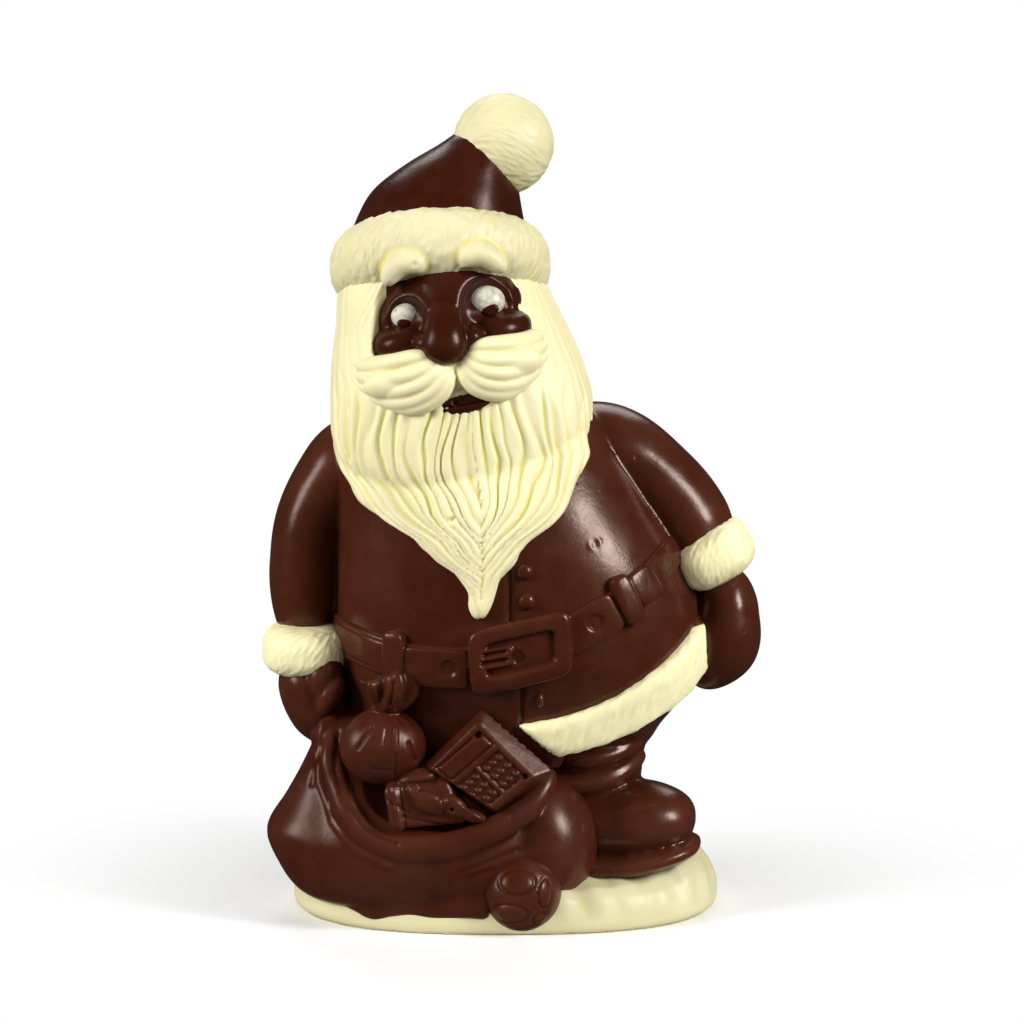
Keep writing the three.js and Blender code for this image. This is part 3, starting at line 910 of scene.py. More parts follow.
belt_upper = [(x, z + BELT_HALF) for x, z in BELT_LINE]
belt_lower = [(x, z - BELT_HALF) for x, z in BELT_LINE]


def belt_relief(points, normals):
    """A tooled line along both edges of the strap."""
    x, y, z = points.T
    across = np.abs(z - line(BELT_LINE, x)) / BELT_HALF
    return -0.2 * bell(across - 0.72, 0.06)


strap = ring("strap", 420, 40, band_net(belt_upper, belt_lower, -2, BELT_THICK, 6))
belt = cast("belt", [strap], voxel=0.3, rounds=2)
relieve(belt, belt_relief)
finish_piece(belt, COAT_DARK_LIT, reach=0.2)


# %% Buckle, tongue and loops
def laid(centre, turn, u, v, lift):
    """Points on the coat, from a plate's own directions u and v."""
    c, s = math.cos(math.radians(turn)), math.sin(math.radians(turn))
    return on_coat(centre[0] + u * c - v * s, centre[1] + u * s + v * c, lift)


def frame_bar(name, centre, width, height, bar, corner, turn, inner, outer):
    """A rounded square frame that lies on the coat."""

    def at(angle, minor):
        reach = squareness(minor, 3.6)
        across, lift = 0.5 * bar * reach * np.cos(minor), reach * np.sin(minor)
        half_w, half_h = width / 2 - bar / 2, height / 2 - bar / 2
        u = (half_w + across) * squareness(angle, corner) * np.cos(angle)
        v = (half_h + across) * squareness(angle, corner) * np.sin(angle)
        return laid(centre, turn, u + BUCKLE_SKEW * v, v, inner + (outer - inner) * (0.5 + 0.5 * lift))

    return ring(name, 200, 32, at)


def bar_on_coat(name, centre, halves, turn, inner, outer, power):
    """A rounded bar or plate that lies on the coat."""

    def at(angle, down):
        soft = 2 / power
        share = np.sin(np.pi * down) ** soft * squareness(angle, power)
        u, v = halves[0] * share * np.cos(angle), halves[1] * share * np.sin(angle)
        lift = signed_power(np.cos(np.pi * down), soft)
        return laid(centre, turn, u, v, inner + (outer - inner) * (0.5 + 0.5 * lift))

    return net(name, 64, 32, at)


def plate_relief(points, normals):
    """The punched holes, and the two slots beside the tongue."""
    x, y, z = points.T
    height = -HOLE_DEPTH * sum(stroke(points, start, end, SLOT_WIDTH) for start, end in TONGUE_SLOTS)
    for hole_x, hole_z, size in BELT_HOLES:
        away = np.hypot(x - hole_x, z - hole_z)
        height -= HOLE_DEPTH * spot(x, z, (hole_x, hole_z), size) - 0.35 * bell(away, 0.5 * size)
    return height * (y < 0)


# each plate: centre, half sizes, turn in degrees, lift of its back and of its front, squareness; the frame
# has its width, its height, its bar's width and the squareness of its outline before its turn
buckle_parts = [
    bar_on_coat("strap_plate", (-14.2, 52.9), (6.0, 3.7), 0, -0.5, 1.55, 9),
    bar_on_coat("strap_plate", (14.6, 61.4), (5.6, 3.7), 27, -0.5, 1.55, 9),
    bar_on_coat("strap_in_buckle", BUCKLE_CENTRE, (6.4, 3.0), BUCKLE_TURN, -0.5, 1.35, 9),
    frame_bar("frame", BUCKLE_CENTRE, 19.4, 12.4, 3.1, 6.5, BUCKLE_TURN, -0.5, 2.7),
    bar_on_coat("tongue", (-3.1, 55.5), (3.6, 1.9), BUCKLE_TURN - 2, 0.2, 2.3, 5),
    bar_on_coat("loop", (-21.9, 54.4), (1.85, 4.9), 0, -0.5, 2.6, 4.5),
    bar_on_coat("loop", (21.4, 65.4), (1.75, 5.1), 25, -0.5, 2.6, 4),
    bar_on_coat("strap_end", (25.0, 67.6), (2.5, 3.6), 30, -0.5, 1.5, 4),
]
buckle = relieve(cast("belt_buckle_and_loops", buckle_parts, voxel=0.24, rounds=1), plate_relief)
finish_piece(buckle, COAT_DARK_LIT, reach=0.2)

# %% [markdown]
# ## White fur: hem and cuffs
# The hem is a wide ring of fur round the coat, and the cuffs are two thick rings. They are cast first and
# then stroked, and the strokes lie across the band with a slant.

# %% Hem
hem_round = band_net(HEM_UPPER, HEM_LOWER, -3, 2.35, 3.4)
hem_tucked = band_net(HEM_UPPER, HEM_LOWER, -5, -1.2, 3.4)


def hem_net(angle, turn):
    """The hem's fur, tucked under the coat where the sack and its presents stand in front of it."""
    fur_points, tucked = hem_round(angle, turn), hem_tucked(angle, turn)
    hidden = covered(*fur_points.T)[:, None]
    return fur_points * (1 - hidden) + tucked * hidden


coat_trim = cast("coat_trim", [ring("hem", 300, 60, hem_net)], voxel=0.42, rounds=2)
fur(coat_trim, 1600, lambda point, normal: (0.45, 0, 1), seed=3, length=1.4, width=0.36, depth=0.24)
finish_fur(coat_trim, TRIM_IVORY_LIT)


# %% Cuffs
CUFF_SLANT = 62


def cuff(name, centre, halves, lean, seed):
    soft_body = ball(name, centre, halves, 80, 60, power=2.8, plan=2.6, lean=lean)
    made = cast(name, [soft_body], voxel=0.3, rounds=1)
    slant = math.radians(lean + CUFF_SLANT)
    lie = (math.cos(slant), 0, math.sin(slant))
    fur(made, 620, lambda point, normal: lie, seed, length=1.4, width=0.34, depth=0.21)
    return finish_fur(made, TRIM_IVORY_LIT)


cuff("cuff_by_the_sack", (-40.4, -4.4, 52), (8.3, 10.8, 5.1), lean=-2, seed=5)
cuff("cuff_at_the_hip", (39.3, -3.4, 70.6), (8.0, 11.0, 5.4), lean=30, seed=6)

# %% [markdown]
# ## Mittens
# One mitten hangs and grips the neck of the sack. The other rests on the hip, with its fingers rolled in
# and its thumb against the coat.

# %% Mittens
NEAR_HAND = [
    (-39.2, -5, 52, 6.5, 8.2),
    (-39.2, -6, 45, 6.5, 8.2),
    (-37.4, -7.2, 39.4, 5.8, 7.2),
    (-35, -8, 34, 4.2, 5.6),
]
FAR_HAND = [
    (41, -4, 68, 5.8, 7.6),
    (42, -5, 60, 6.2, 8.4),
    (40.8, -5.6, 53, 7.4, 8.6),
    (35.6, -4.4, 45, 5.8, 6.6),
]
near_parts = [
    limb("hand", NEAR_HAND, ends=0.35),
    ball("fist", (-36.6, -10.6, 47.4), (3.9, 5.0, 5.4), lean=-8),
    ball("thumb", (-35.2, -13.2, 44.6), (2.5, 3.2, 4.2), lean=-28),
]
finish_piece(cast("mitten_by_the_sack", near_parts, voxel=0.4, rounds=3), LEG_DARK_LIT)
far_parts = [
    limb("hand", FAR_HAND, ends=0.35),
    ball("thumb", (36.2, -9, 54.6), (3.2, 4.2, 6.2), lean=22),
]
finish_piece(cast("mitten_at_the_hip", far_parts, voxel=0.4, rounds=3), LEG_DARK_LIT)

# %% [markdown]
# ## The sack and its presents
# The sack slumps to both sides, with folds that run out from its gathered neck, and a rolled rim. Its mouth
# is hollow, and a tied pouch, a box of sweets and a wrapped parcel stand in it. A ball lies in front. Some
# of its chocolate has run under it, over the rim of the snow and down to an uneven edge.

# %% Sack
SACK_RIM = [
    (-34.8, -13.4, 38.6, 1.2, 1.6),
    (-34.8, -17.4, 35.6, 1.5, 1.6),
    (-34.4, -21, 31, 1.8, 1.7),
    (-32.6, -24, 25, 2.4, 1.9),
    (-28.2, -26.8, 20.2, 2.6, 1.9),
    (-22.4, -28.6, 17.9, 2.7, 1.9),
    (-13, -29.0, 18.0, 2.7, 1.9),
    (-4.8, -28.4, 20.8, 2.7, 1.9),
    (2.2, -26.6, 24.4, 2.6, 2.1),
    (6.0, -23.6, 28.4, 2.0, 2.2),
    (7.4, -20.4, 31, 1.4, 1.8),
]
SACK_NECK = (-34, 40)
# each fold: its path, width and height
SACK_FOLDS = [
    ([(-36.8, 39), (-37.4, 34), (-37.0, 28), (-34.6, 22), (-30, 17.4), (-23, 14.4)], 0.75, 0.5),
    ([(-38.4, 37), (-40.2, 31), (-41.2, 27)], 0.6, 0.35),
    ([(-33.6, 38), (-34.0, 32), (-32.4, 26.4), (-28.6, 21.8), (-22, 19)], 0.45, -0.45),
]
# the lower edge of the chocolate that has run over the snow: x, height
RUN_EDGE = [
    (-38.5, 5.8),
    (-33, 5.1),
    (-29.5, 4.0),
    (-26.4, 2.8),
    (-23.4, 3.5),
    (-19, 3.7),
    (-14, 3.3),
    (-9, 3.7),
    (-4, 3.5),
]
RUN_TOP, RUN_SUNK, RUN_ROUNDING = 8.8, 0.7, 1.15
# each crease here and further on: start, end, width, height
SACK_CREASES = [
    ((-37.4, 31.5), (-38.6, 27.6), 0.45, 0.4),
    ((-9.6, 13.6), (1.4, 17.2), 0.4, 0.4),
    ((-8.6, 12.2), (-3.6, 13.6), 0.5, 0.4),
]


def sack_relief(points, normals):
    """Long soft folds that fan out from the neck and fade over the belly of the sack."""
    x, y, z = points.T
    away = np.hypot(x - SACK_NECK[0], z - SACK_NECK[1])
    turn = np.arctan2(z - SACK_NECK[1], x - SACK_NECK[0])
    fold = np.sin(9 * turn + 0.08 * away) * smoothstep(3, 8, away) * (1 - smoothstep(14, 34, away))
    dent = 0.5 * np.sin(0.17 * x + 1.0) * np.sin(0.24 * z + 0.4)
    pressed = strokes(points, SACK_CREASES)
    raised = sum(height * trail(points, path, width) for path, width, height in SACK_FOLDS)
    return 0.5 * fold + dent * 0.6 + (raised - pressed) * (y < -12)


def snow_front(x):
    """How far forward the rim of the snow lies at x."""
    return -BASE_HALF_Y * (1 - abs((x - BASE_CENTRE_X) / BASE_HALF_X) ** BASE_POWER) ** (1 / BASE_POWER)


def run_over():
    """The dark chocolate that has run from under the sack, over the rim of the snow."""
    stops = []
    for x, low in RUN_EDGE:
        half = (RUN_TOP - low) / 2
        stops.append((x, snow_front(x) + RUN_SUNK, low + half, RUN_ROUNDING * half, 2 * RUN_SUNK))
    return limb("run_over", stops, 40, 160, ends=0.05)


sack_body = standing("sack_body", SACK, 120, 80, ends=0.12)
bulge = ball("bulge", (5.4, -14, 15), (11.2, 13.4, 14))
mouth = ball("mouth", (-13, -27, 33), (19.6, 10, 12.6), lean=-4)
sack_body = carve(cast("sack_body", [sack_body, bulge], voxel=0.6, rounds=4), mouth)
sack_parts = [sack_body, limb("rim", SACK_RIM, 32, 120, ends=0.06), run_over()]
sack_parts.append(ball("gathered_neck", (-35.4, -11, 36.2), (3.8, 5.6, 5.4), lean=-8))
sack = cast("sack", sack_parts, voxel=0.42, rounds=2)
relieve(sack, sack_relief)
finish_piece(sack, SACK_DARK)


# %% [markdown]
# The pouch is a round cloth bag, tied near its top. Pleats gather into the tie, and above it the cloth opens
# in a frill.

# %% Tied pouch
POUCH_X, POUCH_Y = -24.8, -22.8
POUCH_CREASES = [
    ((-26.8, 41.6), (-29.4, 37.6), 0.35, -0.4),
    ((-22.2, 41.0), (-22.1, 37.2), 0.42, 0.5),
    ((-24.0, 41.0), (-24.4, 38.6), 0.32, -0.3),
    ((-19.6, 38.4), (-18.4, 34.8), 0.35, -0.4),
    ((-26.6, 33.6), (-22.8, 33.2), 0.35, -0.22),
    ((-22.2, 35.6), (-22.4, 31.8), 0.32, -0.22),
    ((-27.4, 50.2), (-25.6, 46.6), 0.5, 0.5),
    ((-22.6, 50), (-23.2, 45.6), 0.4, -0.5),
]
POUCH_BUBBLE = (-27, 44.6)
KNOT = [
    (-23.4, POUCH_Y - 0.4, 51.0, 4.7, 3.4),
    (-23.0, POUCH_Y - 0.8, 49.2, 5.3, 4.2),
    (-23.6, POUCH_Y - 0.6, 46.4, 4.5, 3.6),
    (-24.5, POUCH_Y, 43.4, 2.6, 2.6),
    (-24.6, POUCH_Y, 41, 4.4, 4.2),
]


def gathered(angle, down):
    """Pleats that gather into the tied neck and fade down the bag."""
    return 0.02 * np.cos(13 * angle + 1) * (1 - smoothstep(0.1, 0.4, down))


def ruffled(angle, down):
    """A frill that opens above the tie in uneven folds."""
    open_frill = 1 - smoothstep(0.35, 0.72, down)
    folds = 0.75 * np.cos(6 * angle + 1.2 + 2 * down) + 0.4 * np.cos(4 * angle - 1.5 * down)
    return open_frill * (folds + 0.25 * np.cos(11 * angle))


def pouch_relief(points, normals):
    """Creases in the cloth, and a bubble beside the neck."""
    x, y, z = points.T
    height = strokes(points, POUCH_CREASES) - 0.9 * spot(x, z, POUCH_BUBBLE, 0.55)
    return height * (y < POUCH_Y)


pouch_parts = [
    ball("pouch_body", (POUCH_X, POUCH_Y, 36.4), (8.4, 7.5, 7.4), 96, 64, relief=gathered),
    limb("pouch_neck", KNOT, 120, 60, ends=0.16, relief=ruffled),
]
tie = [(-27.4, -22.6, 43.4), (-25.6, -25.4, 42.9), (-23.4, -25.5, 42.8), (-21.6, -22.8, 43.2)]
pouch_parts.append(limb("tie", [(*place, 0.5, 0.6) for place in tie], 16, 30, ends=0.1))
pouch = relieve(cast("gift_pouch", pouch_parts, voxel=0.26, rounds=2), pouch_relief)
finish_piece(pouch, SACK_DARK, reach=0.2)


# %% [markdown]
# The box of sweets starts as a cube. Its corners are set where the box leans out of the sack, its edges are
# bevelled, and its lid is inset so that a border stands round it. The bar and the two trays of sweets in the
# lid are then pressed in along the lid's own two directions.

# %% Box of sweets
BOX_CORNERS = {
    (-1, -1, 1): (-6.5, -29.2, 42.6),
    (1, -1, 1): (4.4, -31.2, 32.0),
    (1, -1, -1): (-3.4, -31.4, 25.4),
    (-1, -1, -1): (-16.2, -30.2, 33.6),
    (-1, 1, 1): (-5.6, -25.6, 46.0),
    (1, 1, 1): (9.4, -27.8, 33.0),
    (1, 1, -1): (-3.0, -22, 21.0),
    (-1, 1, -1): (-18.2, -25, 33.2),
}
LID_START, LID_ACROSS, LID_DOWN = np.array([(-6.5, 42.0), (10.2, -9.6), (-9.2, -7.8)])
LID_HOLES, LID_HOLE_SIZE = [(-6.5, 40.0), (2.6, 32.3)], 0.6
LID_BAR = (0.09, 0.33, 0.06, 0.94)
TRAY_ACROSS, TRAYS = (0.44, 0.93), [(0.07, 0.47), (0.55, 0.95)]
SWEETS_ACROSS, SWEETS_DOWN, SWEET_SIZE = (0.53, 0.685, 0.84), (0.17, 0.5, 0.83), 0.6


def set_corners(piece, places):
    """Moves each corner of a two-unit cube to its place in millimetres."""
    points = [places[tuple(int(round(value)) for value in point * MM)] for point in read(piece)]
    write(piece, points)


def hand_shaped_block(name, places, bevel, border=0.0, sink=0.0):
    """A cube with its corners set, its edges bevelled and, if asked, a border round its front."""
    block = primitive(name, bpy.ops.mesh.primitive_cube_add, size=2)
    set_corners(block, places)
    edit_all(block)
    bpy.ops.mesh.bevel(offset=bevel * MM, segments=3, affect="EDGES")
    bpy.ops.object.mode_set(mode="OBJECT")
    if border:
        faces = block.data.polygons
        lid = max((face for face in faces if face.normal.y < -0.7), key=lambda face: face.area).index
        for face in faces:
            face.select = face.index == lid
        bpy.ops.object.mode_set(mode="EDIT")
        bpy.ops.mesh.select_mode(type="FACE")
        bpy.ops.object.mode_set(mode="OBJECT")
        block.data.polygons[lid].select = True
        bpy.ops.object.mode_set(mode="EDIT")
        bpy.ops.mesh.inset(thickness=border * MM, depth=0)
        bpy.ops.mesh.inset(thickness=0.35 * MM, depth=-sink * MM)
        bpy.ops.object.mode_set(mode="OBJECT")
    return block


def lid_place(x, z):
    """Shares of the way across and down the lid."""
    inverse = np.linalg.inv(np.stack([LID_ACROSS, LID_DOWN], 1))
    return (inverse @ (np.stack([x, z]) - LID_START[:, None])).clip(-1, 2)


def groove_round(u, v, low_u, high_u, low_v, high_v):
    """A thin groove along a rectangle's outline on the lid, and what lies inside it."""
    across = np.maximum(low_u - u, u - high_u) * np.linalg.norm(LID_ACROSS)
    down = np.maximum(low_v - v, v - high_v) * np.linalg.norm(LID_DOWN)
    outside = np.maximum(across, down)
    return bell(outside, 0.3), smoothstep(-0.1, 0.2, -outside)


def lid_relief(points, normals):
    """The bar, the two trays with their rows of sweets, and the two punched holes."""
    x, y, z = points.T
    u, v = lid_place(x, z)
    facing = smoothstep(0.75, 0.9, -normals[:, 1])
    bar_edge, bar = groove_round(u, v, *LID_BAR)
    height = -0.45 * bar_edge + 0.12 * bar
    for low_v, high_v in TRAYS:
        tray_edge, tray = groove_round(u, v, *TRAY_ACROSS, low_v, high_v)
        height += -0.3 * tray_edge - 0.4 * tray
        for sweet_u in SWEETS_ACROSS:
            for step in SWEETS_DOWN:
                sweet_v = low_v + step * (high_v - low_v)
                sweet = LID_START + sweet_u * LID_ACROSS + sweet_v * LID_DOWN
                height += 0.65 * spot(x, z, sweet, SWEET_SIZE)
    for hole in LID_HOLES:
        height -= 1.3 * spot(x, z, hole, LID_HOLE_SIZE)
    return height * facing


box = hand_shaped_block("box", BOX_CORNERS, 0.9, border=1.1, sink=0.5)
box = relieve(cast("gift_box", [box], voxel=0.2, rounds=2), lid_relief)
finish_piece(box, SACK_DARK, reach=0.2)

# %% [markdown]
# The parcel is a block with two soft corners, a bow and a ribbon. Folds in its wrapping are pressed in last.

# %% Wrapped parcel
PARCEL_CORNERS = {
    (-1, -1, 1): (-25.2, -29.6, 29.4),
    (1, -1, 1): (-12.0, -29.8, 31.4),
    (1, -1, -1): (-8.6, -31, 23.4),
    (-1, -1, -1): (-23.0, -30.6, 21.6),
    (-1, 1, 1): (-22.6, -22, 34),
    (1, 1, 1): (-12.4, -22, 34.4),
    (1, 1, -1): (-7.2, -22, 22),
    (-1, 1, -1): (-24, -22, 21),
}
PARCEL_CREASES = [
    ((-22.6, 29.8), (-21.2, 21.8), 0.4, 0.45),
    ((-21.4, 29.8), (-20.2, 21.8), 0.3, -0.35),
    ((-25.2, 28.2), (-19.6, 25.2), 0.35, -0.35),
    ((-19.6, 30.8), (-14.6, 31), 0.4, -0.3),
    ((-20.4, 24.4), (-12.6, 22.6), 0.35, -0.35),
    ((-9.6, 26.6), (-6.2, 24.2), 0.35, 0.3),
]
PARCEL_BUBBLE = (-11.5, 26.0)
RIBBON = [(-19.6, -27.4, 32.2), (-18.8, -30.2, 29.6), (-17.6, -30.8, 27.8)]


def creases(points, normals):
    """Folds of the wrapping, its upright ribbon and a bubble."""
    x, y, z = points.T
    height = strokes(points, PARCEL_CREASES) - 0.8 * spot(x, z, PARCEL_BUBBLE, 0.45)
    return height * smoothstep(0.2, 0.5, -normals[:, 1])


parcel_parts = [
    hand_shaped_block("parcel", PARCEL_CORNERS, 1.4),
    ball("corner", (-18.0, -27.4, 31.4), (4.2, 2.6, 1.8), lean=12),
    ball("corner", (-8.2, -29.4, 24.6), (3.4, 1.7, 1.3), lean=-14),
    ball("bow", (-15.6, -30.4, 27.2), (3.2, 1.5, 2.1), 48, 32, power=2.4, lean=-24),
    ball("bow", (-11.0, -30.4, 26.4), (2.5, 1.4, 1.9), 48, 32, power=2.4, lean=-34),
    ball("knot", (-13.2, -31, 27.2), (0.8, 1.2, 1.5), 24, 18, lean=-20),
    limb("ribbon", [(*place, 0.95, 0.5) for place in RIBBON], 20, 30),
]
parcel = relieve(cast("gift_parcel", parcel_parts, voxel=0.24, rounds=5), creases)
finish_piece(parcel, SACK_DARK, reach=0.2)

# %% [markdown]
# The ball lies in front of the sack. Its patches are raised a little, and a groove runs round each.

# %% Toy ball
BALL_CENTRE, BALL_RADIUS = np.array((1.9, -24.5, 8.2)), 7.7
# each patch, from the middle of the ball: x, z and its half sizes
BALL_PATCHES = [(-1.0, 3.4, 3.2, 2.0), (-2.2, -2.8, 3.0, 1.9), (4.4, 1.2, 1.2, 2.6), (3.8, -4.2, 1.6, 1.2)]


def ball_relief(points, normals):
    """Stitched lens-shaped patches on the side that faces the viewer."""
    x, z = points[:, 0] - BALL_CENTRE[0], points[:, 2] - BALL_CENTRE[2]
    facing = smoothstep(0.5, 0.8, -normals[:, 1])
    height = np.zeros(len(points))
    for centre_x, centre_z, half_x, half_z in BALL_PATCHES:
        reach = np.hypot((x - centre_x) / half_x, (z - centre_z) / half_z)
        height += 0.15 * (1 - smoothstep(0.6, 1.0, reach)) - 0.32 * bell(reach - 1.1, 0.12)
    return height * facing


toy_ball = cast("toy_ball", [ball("ball", BALL_CENTRE, (BALL_RADIUS,) * 3, 64, 48)], voxel=0.28, rounds=1)
relieve(toy_ball, ball_relief)
finish_piece(toy_ball, SACK_DARK, reach=0.2)


# %% [markdown]
# ## The face
# The face is dark, set into the white hair: a round nose with two wings, full cheeks, and round eyes in
# rings of lid, the one on the viewer's right a little larger. It is a plain folk face that looks straight
# ahead, built in a frame that leans with the head. The nose hangs straight down all the same, so its tip lies
# a little to the left in that frame.

# %% Face
FACE_X, FACE_Z = -12.2, 119
TILT_COS, TILT_SIN = math.cos(math.radians(HEAD_TILT)), math.sin(math.radians(HEAD_TILT))


def on_head(x, y, z):
    """A place in the head's own frame: across the face, depth, and up it from the bridge of the nose."""
    return (FACE_X + x * TILT_COS - z * TILT_SIN, y, FACE_Z + x * TILT_SIN + z * TILT_COS)


def leaning(name, place, halves, sides=48, rings=32, lean=0.0, **more):
    """A ball in the head's own frame, which leans with the head."""
    return ball(name, on_head(*place), halves, sides, rings, lean=HEAD_TILT + lean, **more)


def in_head(points):
    """Across the face and up it, for points in the figure's frame."""
    dx, dz = points[:, 0] - FACE_X, points[:, 2] - FACE_Z
    return dx * TILT_COS + dz * TILT_SIN, dz * TILT_COS - dx * TILT_SIN


EYE_X, EYE_Z = 7.7, 1.6
EYE_SCALE = {-1: 0.88, 1: 1.1}
LID_RADIUS, SOCKET_RADIUS, CREASE_RADIUS = 3.7, 4.6, 5.2
TEMPLE_FOLDS = (12.9, 14.3)
CHEEK, CHEEK_DROP, CHEEK_HALVES, CHEEK_LEAN = (9.0, -15.0, -3.8), 0.3, (6.6, 9.0, 4.0), -8
SKULL_TAPER = 0.016
NOSE = [
    (0.3, -19.4, 4.6, 2.6, 2.4),
    (-0.1, -21.4, 1.8, 3.3, 3.4),
    (-0.6, -23.1, -1.0, 4.0, 4.3),
    (-1.1, -24.6, -3.8, 4.6, 4.9),
    (-1.3, -24.6, -5.4, 4.6, 4.8),
    (-1.5, -23.8, -7.3, 3.6, 4.0),
]
WINGS, WING_Y, WING_HALVES = [(-4.8, -3.4), (4.0, -3.7)], -23.4, (2.4, 3.4, 2.1)


def features(across, up):
    """How far each point of the face stands out: sockets, lids, creases, the bridge and the brow."""
    side = np.abs(across)
    away = np.hypot(side - EYE_X, up - EYE_Z) / np.where(across < 0, EYE_SCALE[-1], EYE_SCALE[1])
    over = smoothstep(-1.5, 1.5, up - EYE_Z)
    socket = -2.1 * (1 - smoothstep(LID_RADIUS, SOCKET_RADIUS, away)) * (0.4 + 0.6 * over)
    lid = 1.1 * bell(away - LID_RADIUS, 0.7) * over
    crease = 0.4 * bell(away - CREASE_RADIUS, 0.8) * over
    folds = sum(0.6 * bell(side - fold - 0.1 * up, 0.55) for fold in TEMPLE_FOLDS)
    folds *= smoothstep(-0.6, 1.4, up) * (1 - smoothstep(6, 8.5, up))
    bridge = 1.5 * bell(across, 4.2) * smoothstep(12, 5, up)
    brow = 0.9 * bell(up - 8.6, 2.2) * (1 - smoothstep(7, 12, side))
    return socket + lid + crease + folds + bridge + brow


skull = leaning("skull", (0, -6, 0), (16.1, 17, 14), 300, 220, plan=2.3)
skull_points = read(skull)
across, up = in_head(skull_points)
skull_points[:, 1] -= features(across, up) * (skull_points[:, 1] < -8)
skull_points[:, 0] -= SKULL_TAPER * across * np.clip(up, -4, 9)
nose_stops = [(*on_head(*place), wide, deep) for *place, wide, deep in NOSE]
face_parts = [write(skull, skull_points), limb("nose", nose_stops, 72, 80, ends=0.26)]
for across, up in WINGS:
    face_parts.append(leaning("wing", (across, WING_Y, up), WING_HALVES))
for side in (-1, 1):
    cheek_place = (side * CHEEK[0], CHEEK[1], CHEEK[2] - side * CHEEK_DROP)
    face_parts.append(leaning("cheek", cheek_place, CHEEK_HALVES, 64, 48, side * CHEEK_LEAN, power=2.5))
face = cast("face", face_parts, voxel=0.28, rounds=16)
finish_piece(face, FACE_DARK_SHADED)

# %% [markdown]
# The eyes are balls of white paint set in their sockets, with dark pupils laid on them that look a little
# down and out. The paint is worn in streaks.

# %% Eyes
PAINT_WHITE, PAINT_WORN = (0.68, 0.65, 0.53), (0.42, 0.39, 0.31)
EYE_Y, EYE_HALVES = -18.7, (3.3, 2.8, 2.75)
PUPIL_Y, PUPIL_HALVES = -18.6, (1.5, 0.6, 1.1)
PUPIL_OUT, PUPIL_FORWARD, PUPIL_DOWN = 0.6, 2.45, 1.1


def eye_paint():
    material, tree, place = start_material("white paint of the eyes")
    streaks = noise(tree, place, 900.0)
    colour = mixed(tree, ramp(tree, streaks, 0.4, 0.75), PAINT_WHITE, PAINT_WORN)
    bump = bumped(tree, streaks, 0.4, 0.0001)
    finish_material(tree, {"Base Color": colour, "Roughness": 0.35, "Normal": bump})
    return material


EYE_PAINT = eye_paint()
eye_parts, pupil_parts = [], []
for side in (-1, 1):
    wide = EYE_SCALE[side]
    eye_halves = [half * wide for half in EYE_HALVES]
    eye_parts.append(leaning("eye", (side * EYE_X, EYE_Y, EYE_Z + 0.1), eye_halves))
    pupil_x, pupil_y = side * EYE_X + PUPIL_OUT * side, PUPIL_Y - PUPIL_FORWARD * wide
    half_x, half_y, half_z = PUPIL_HALVES
    pupil_halves = (half_x * wide, half_y, half_z * wide)
    pupil_parts.append(leaning("pupil", (pupil_x, pupil_y, EYE_Z - PUPIL_DOWN * wide), pupil_halves))
finish_piece(cast("eye_whites", eye_parts, voxel=0.2, rounds=1), EYE_PAINT)
finish_piece(cast("eye_pupils", pupil_parts, voxel=0.12, rounds=1), FACE_DARK_SHADED)

# %% [markdown]
# ## Hair, beard and moustache
# The beard is one thick sheet that hangs from the hair and lies on the coat. Its long locks are combed into
# it afterwards, as relief: the outer ones follow its two edges, and the inner ones close in on its middle
# line one after another. The moustache is two lobes of fat strands, and the hair behind is in ridges.

# %% The beard and its locks
STRAND_WIDTH = 2.3
# each row of the beard: height, left edge, right edge, thickness
BEARD = [
    (100, -32.6, 14.0, 4.4),
    (93, -34.4, 15.0, 4.6),
    (90.5, -34.2, 13.9, 4.4),
    (88.5, -33.6, 12.8, 4.2),
    (86, -31, 11.8, 4.0),
    (84.5, -30, 11, 3.9),
    (82.5, -28.4, 9.6, 3.7),
    (80.5, -25.4, 7.6, 3.5),
    (77.5, -19, 3.6, 3.2),
    (75.5, -16.8, 1.9, 3.0),
    (73.5, -14.8, 0.5, 2.8),
    (71, -10.8, -1.7, 2.6),
    (68, -8.3, -2.8, 2.4),
    (65, -8.3, -3.9, 2.4),
    (62.6, -7.4, -5.1, 1.9),
]
HAIR_HALVES = [(129, 18), (108, 24.6)]
STRAND_MIDDLE = [(108, -9), (101, -7.8), (92, -6.9), (84, -5.8), (71, -5.7), (63, -6.3)]
CONVERGENCE = 0.55
STRAND_DEPTH, GROOVE = 0.42, 0.18
PARTING, PARTING_DEPTH, PARTING_WIDTH = [(-5.6, 84), (-5.6, 78), (-5.5, 73), (-5.8, 67)], 0.3, 0.6
BEARD_PIT = (-11.4, 81.8)
CHIN = 103


def slab(angle, down):
    """The free part of the beard: a thick sheet with a round edge that lies on the coat."""
    z, left, right, thick = between(BEARD, down).T
    uneven = smoothstep(66, 72, z)
    left, right = left + 0.4 * uneven * np.sin(0.8 * z), right + 0.3 * uneven * np.sin(0.7 * z + 1)
    share = end_round(down, 0.03)
    x = (left + right) / 2 + (right - left) / 2 * share * signed_power(np.cos(angle), 0.5)
    ground = front(TORSO, x, z)
    out = np.sin(angle)
    y = ground + np.where(out < 0, -thick * share * np.abs(out) ** 0.5, 3 * out)
    return np.stack([x, y, z], 1)


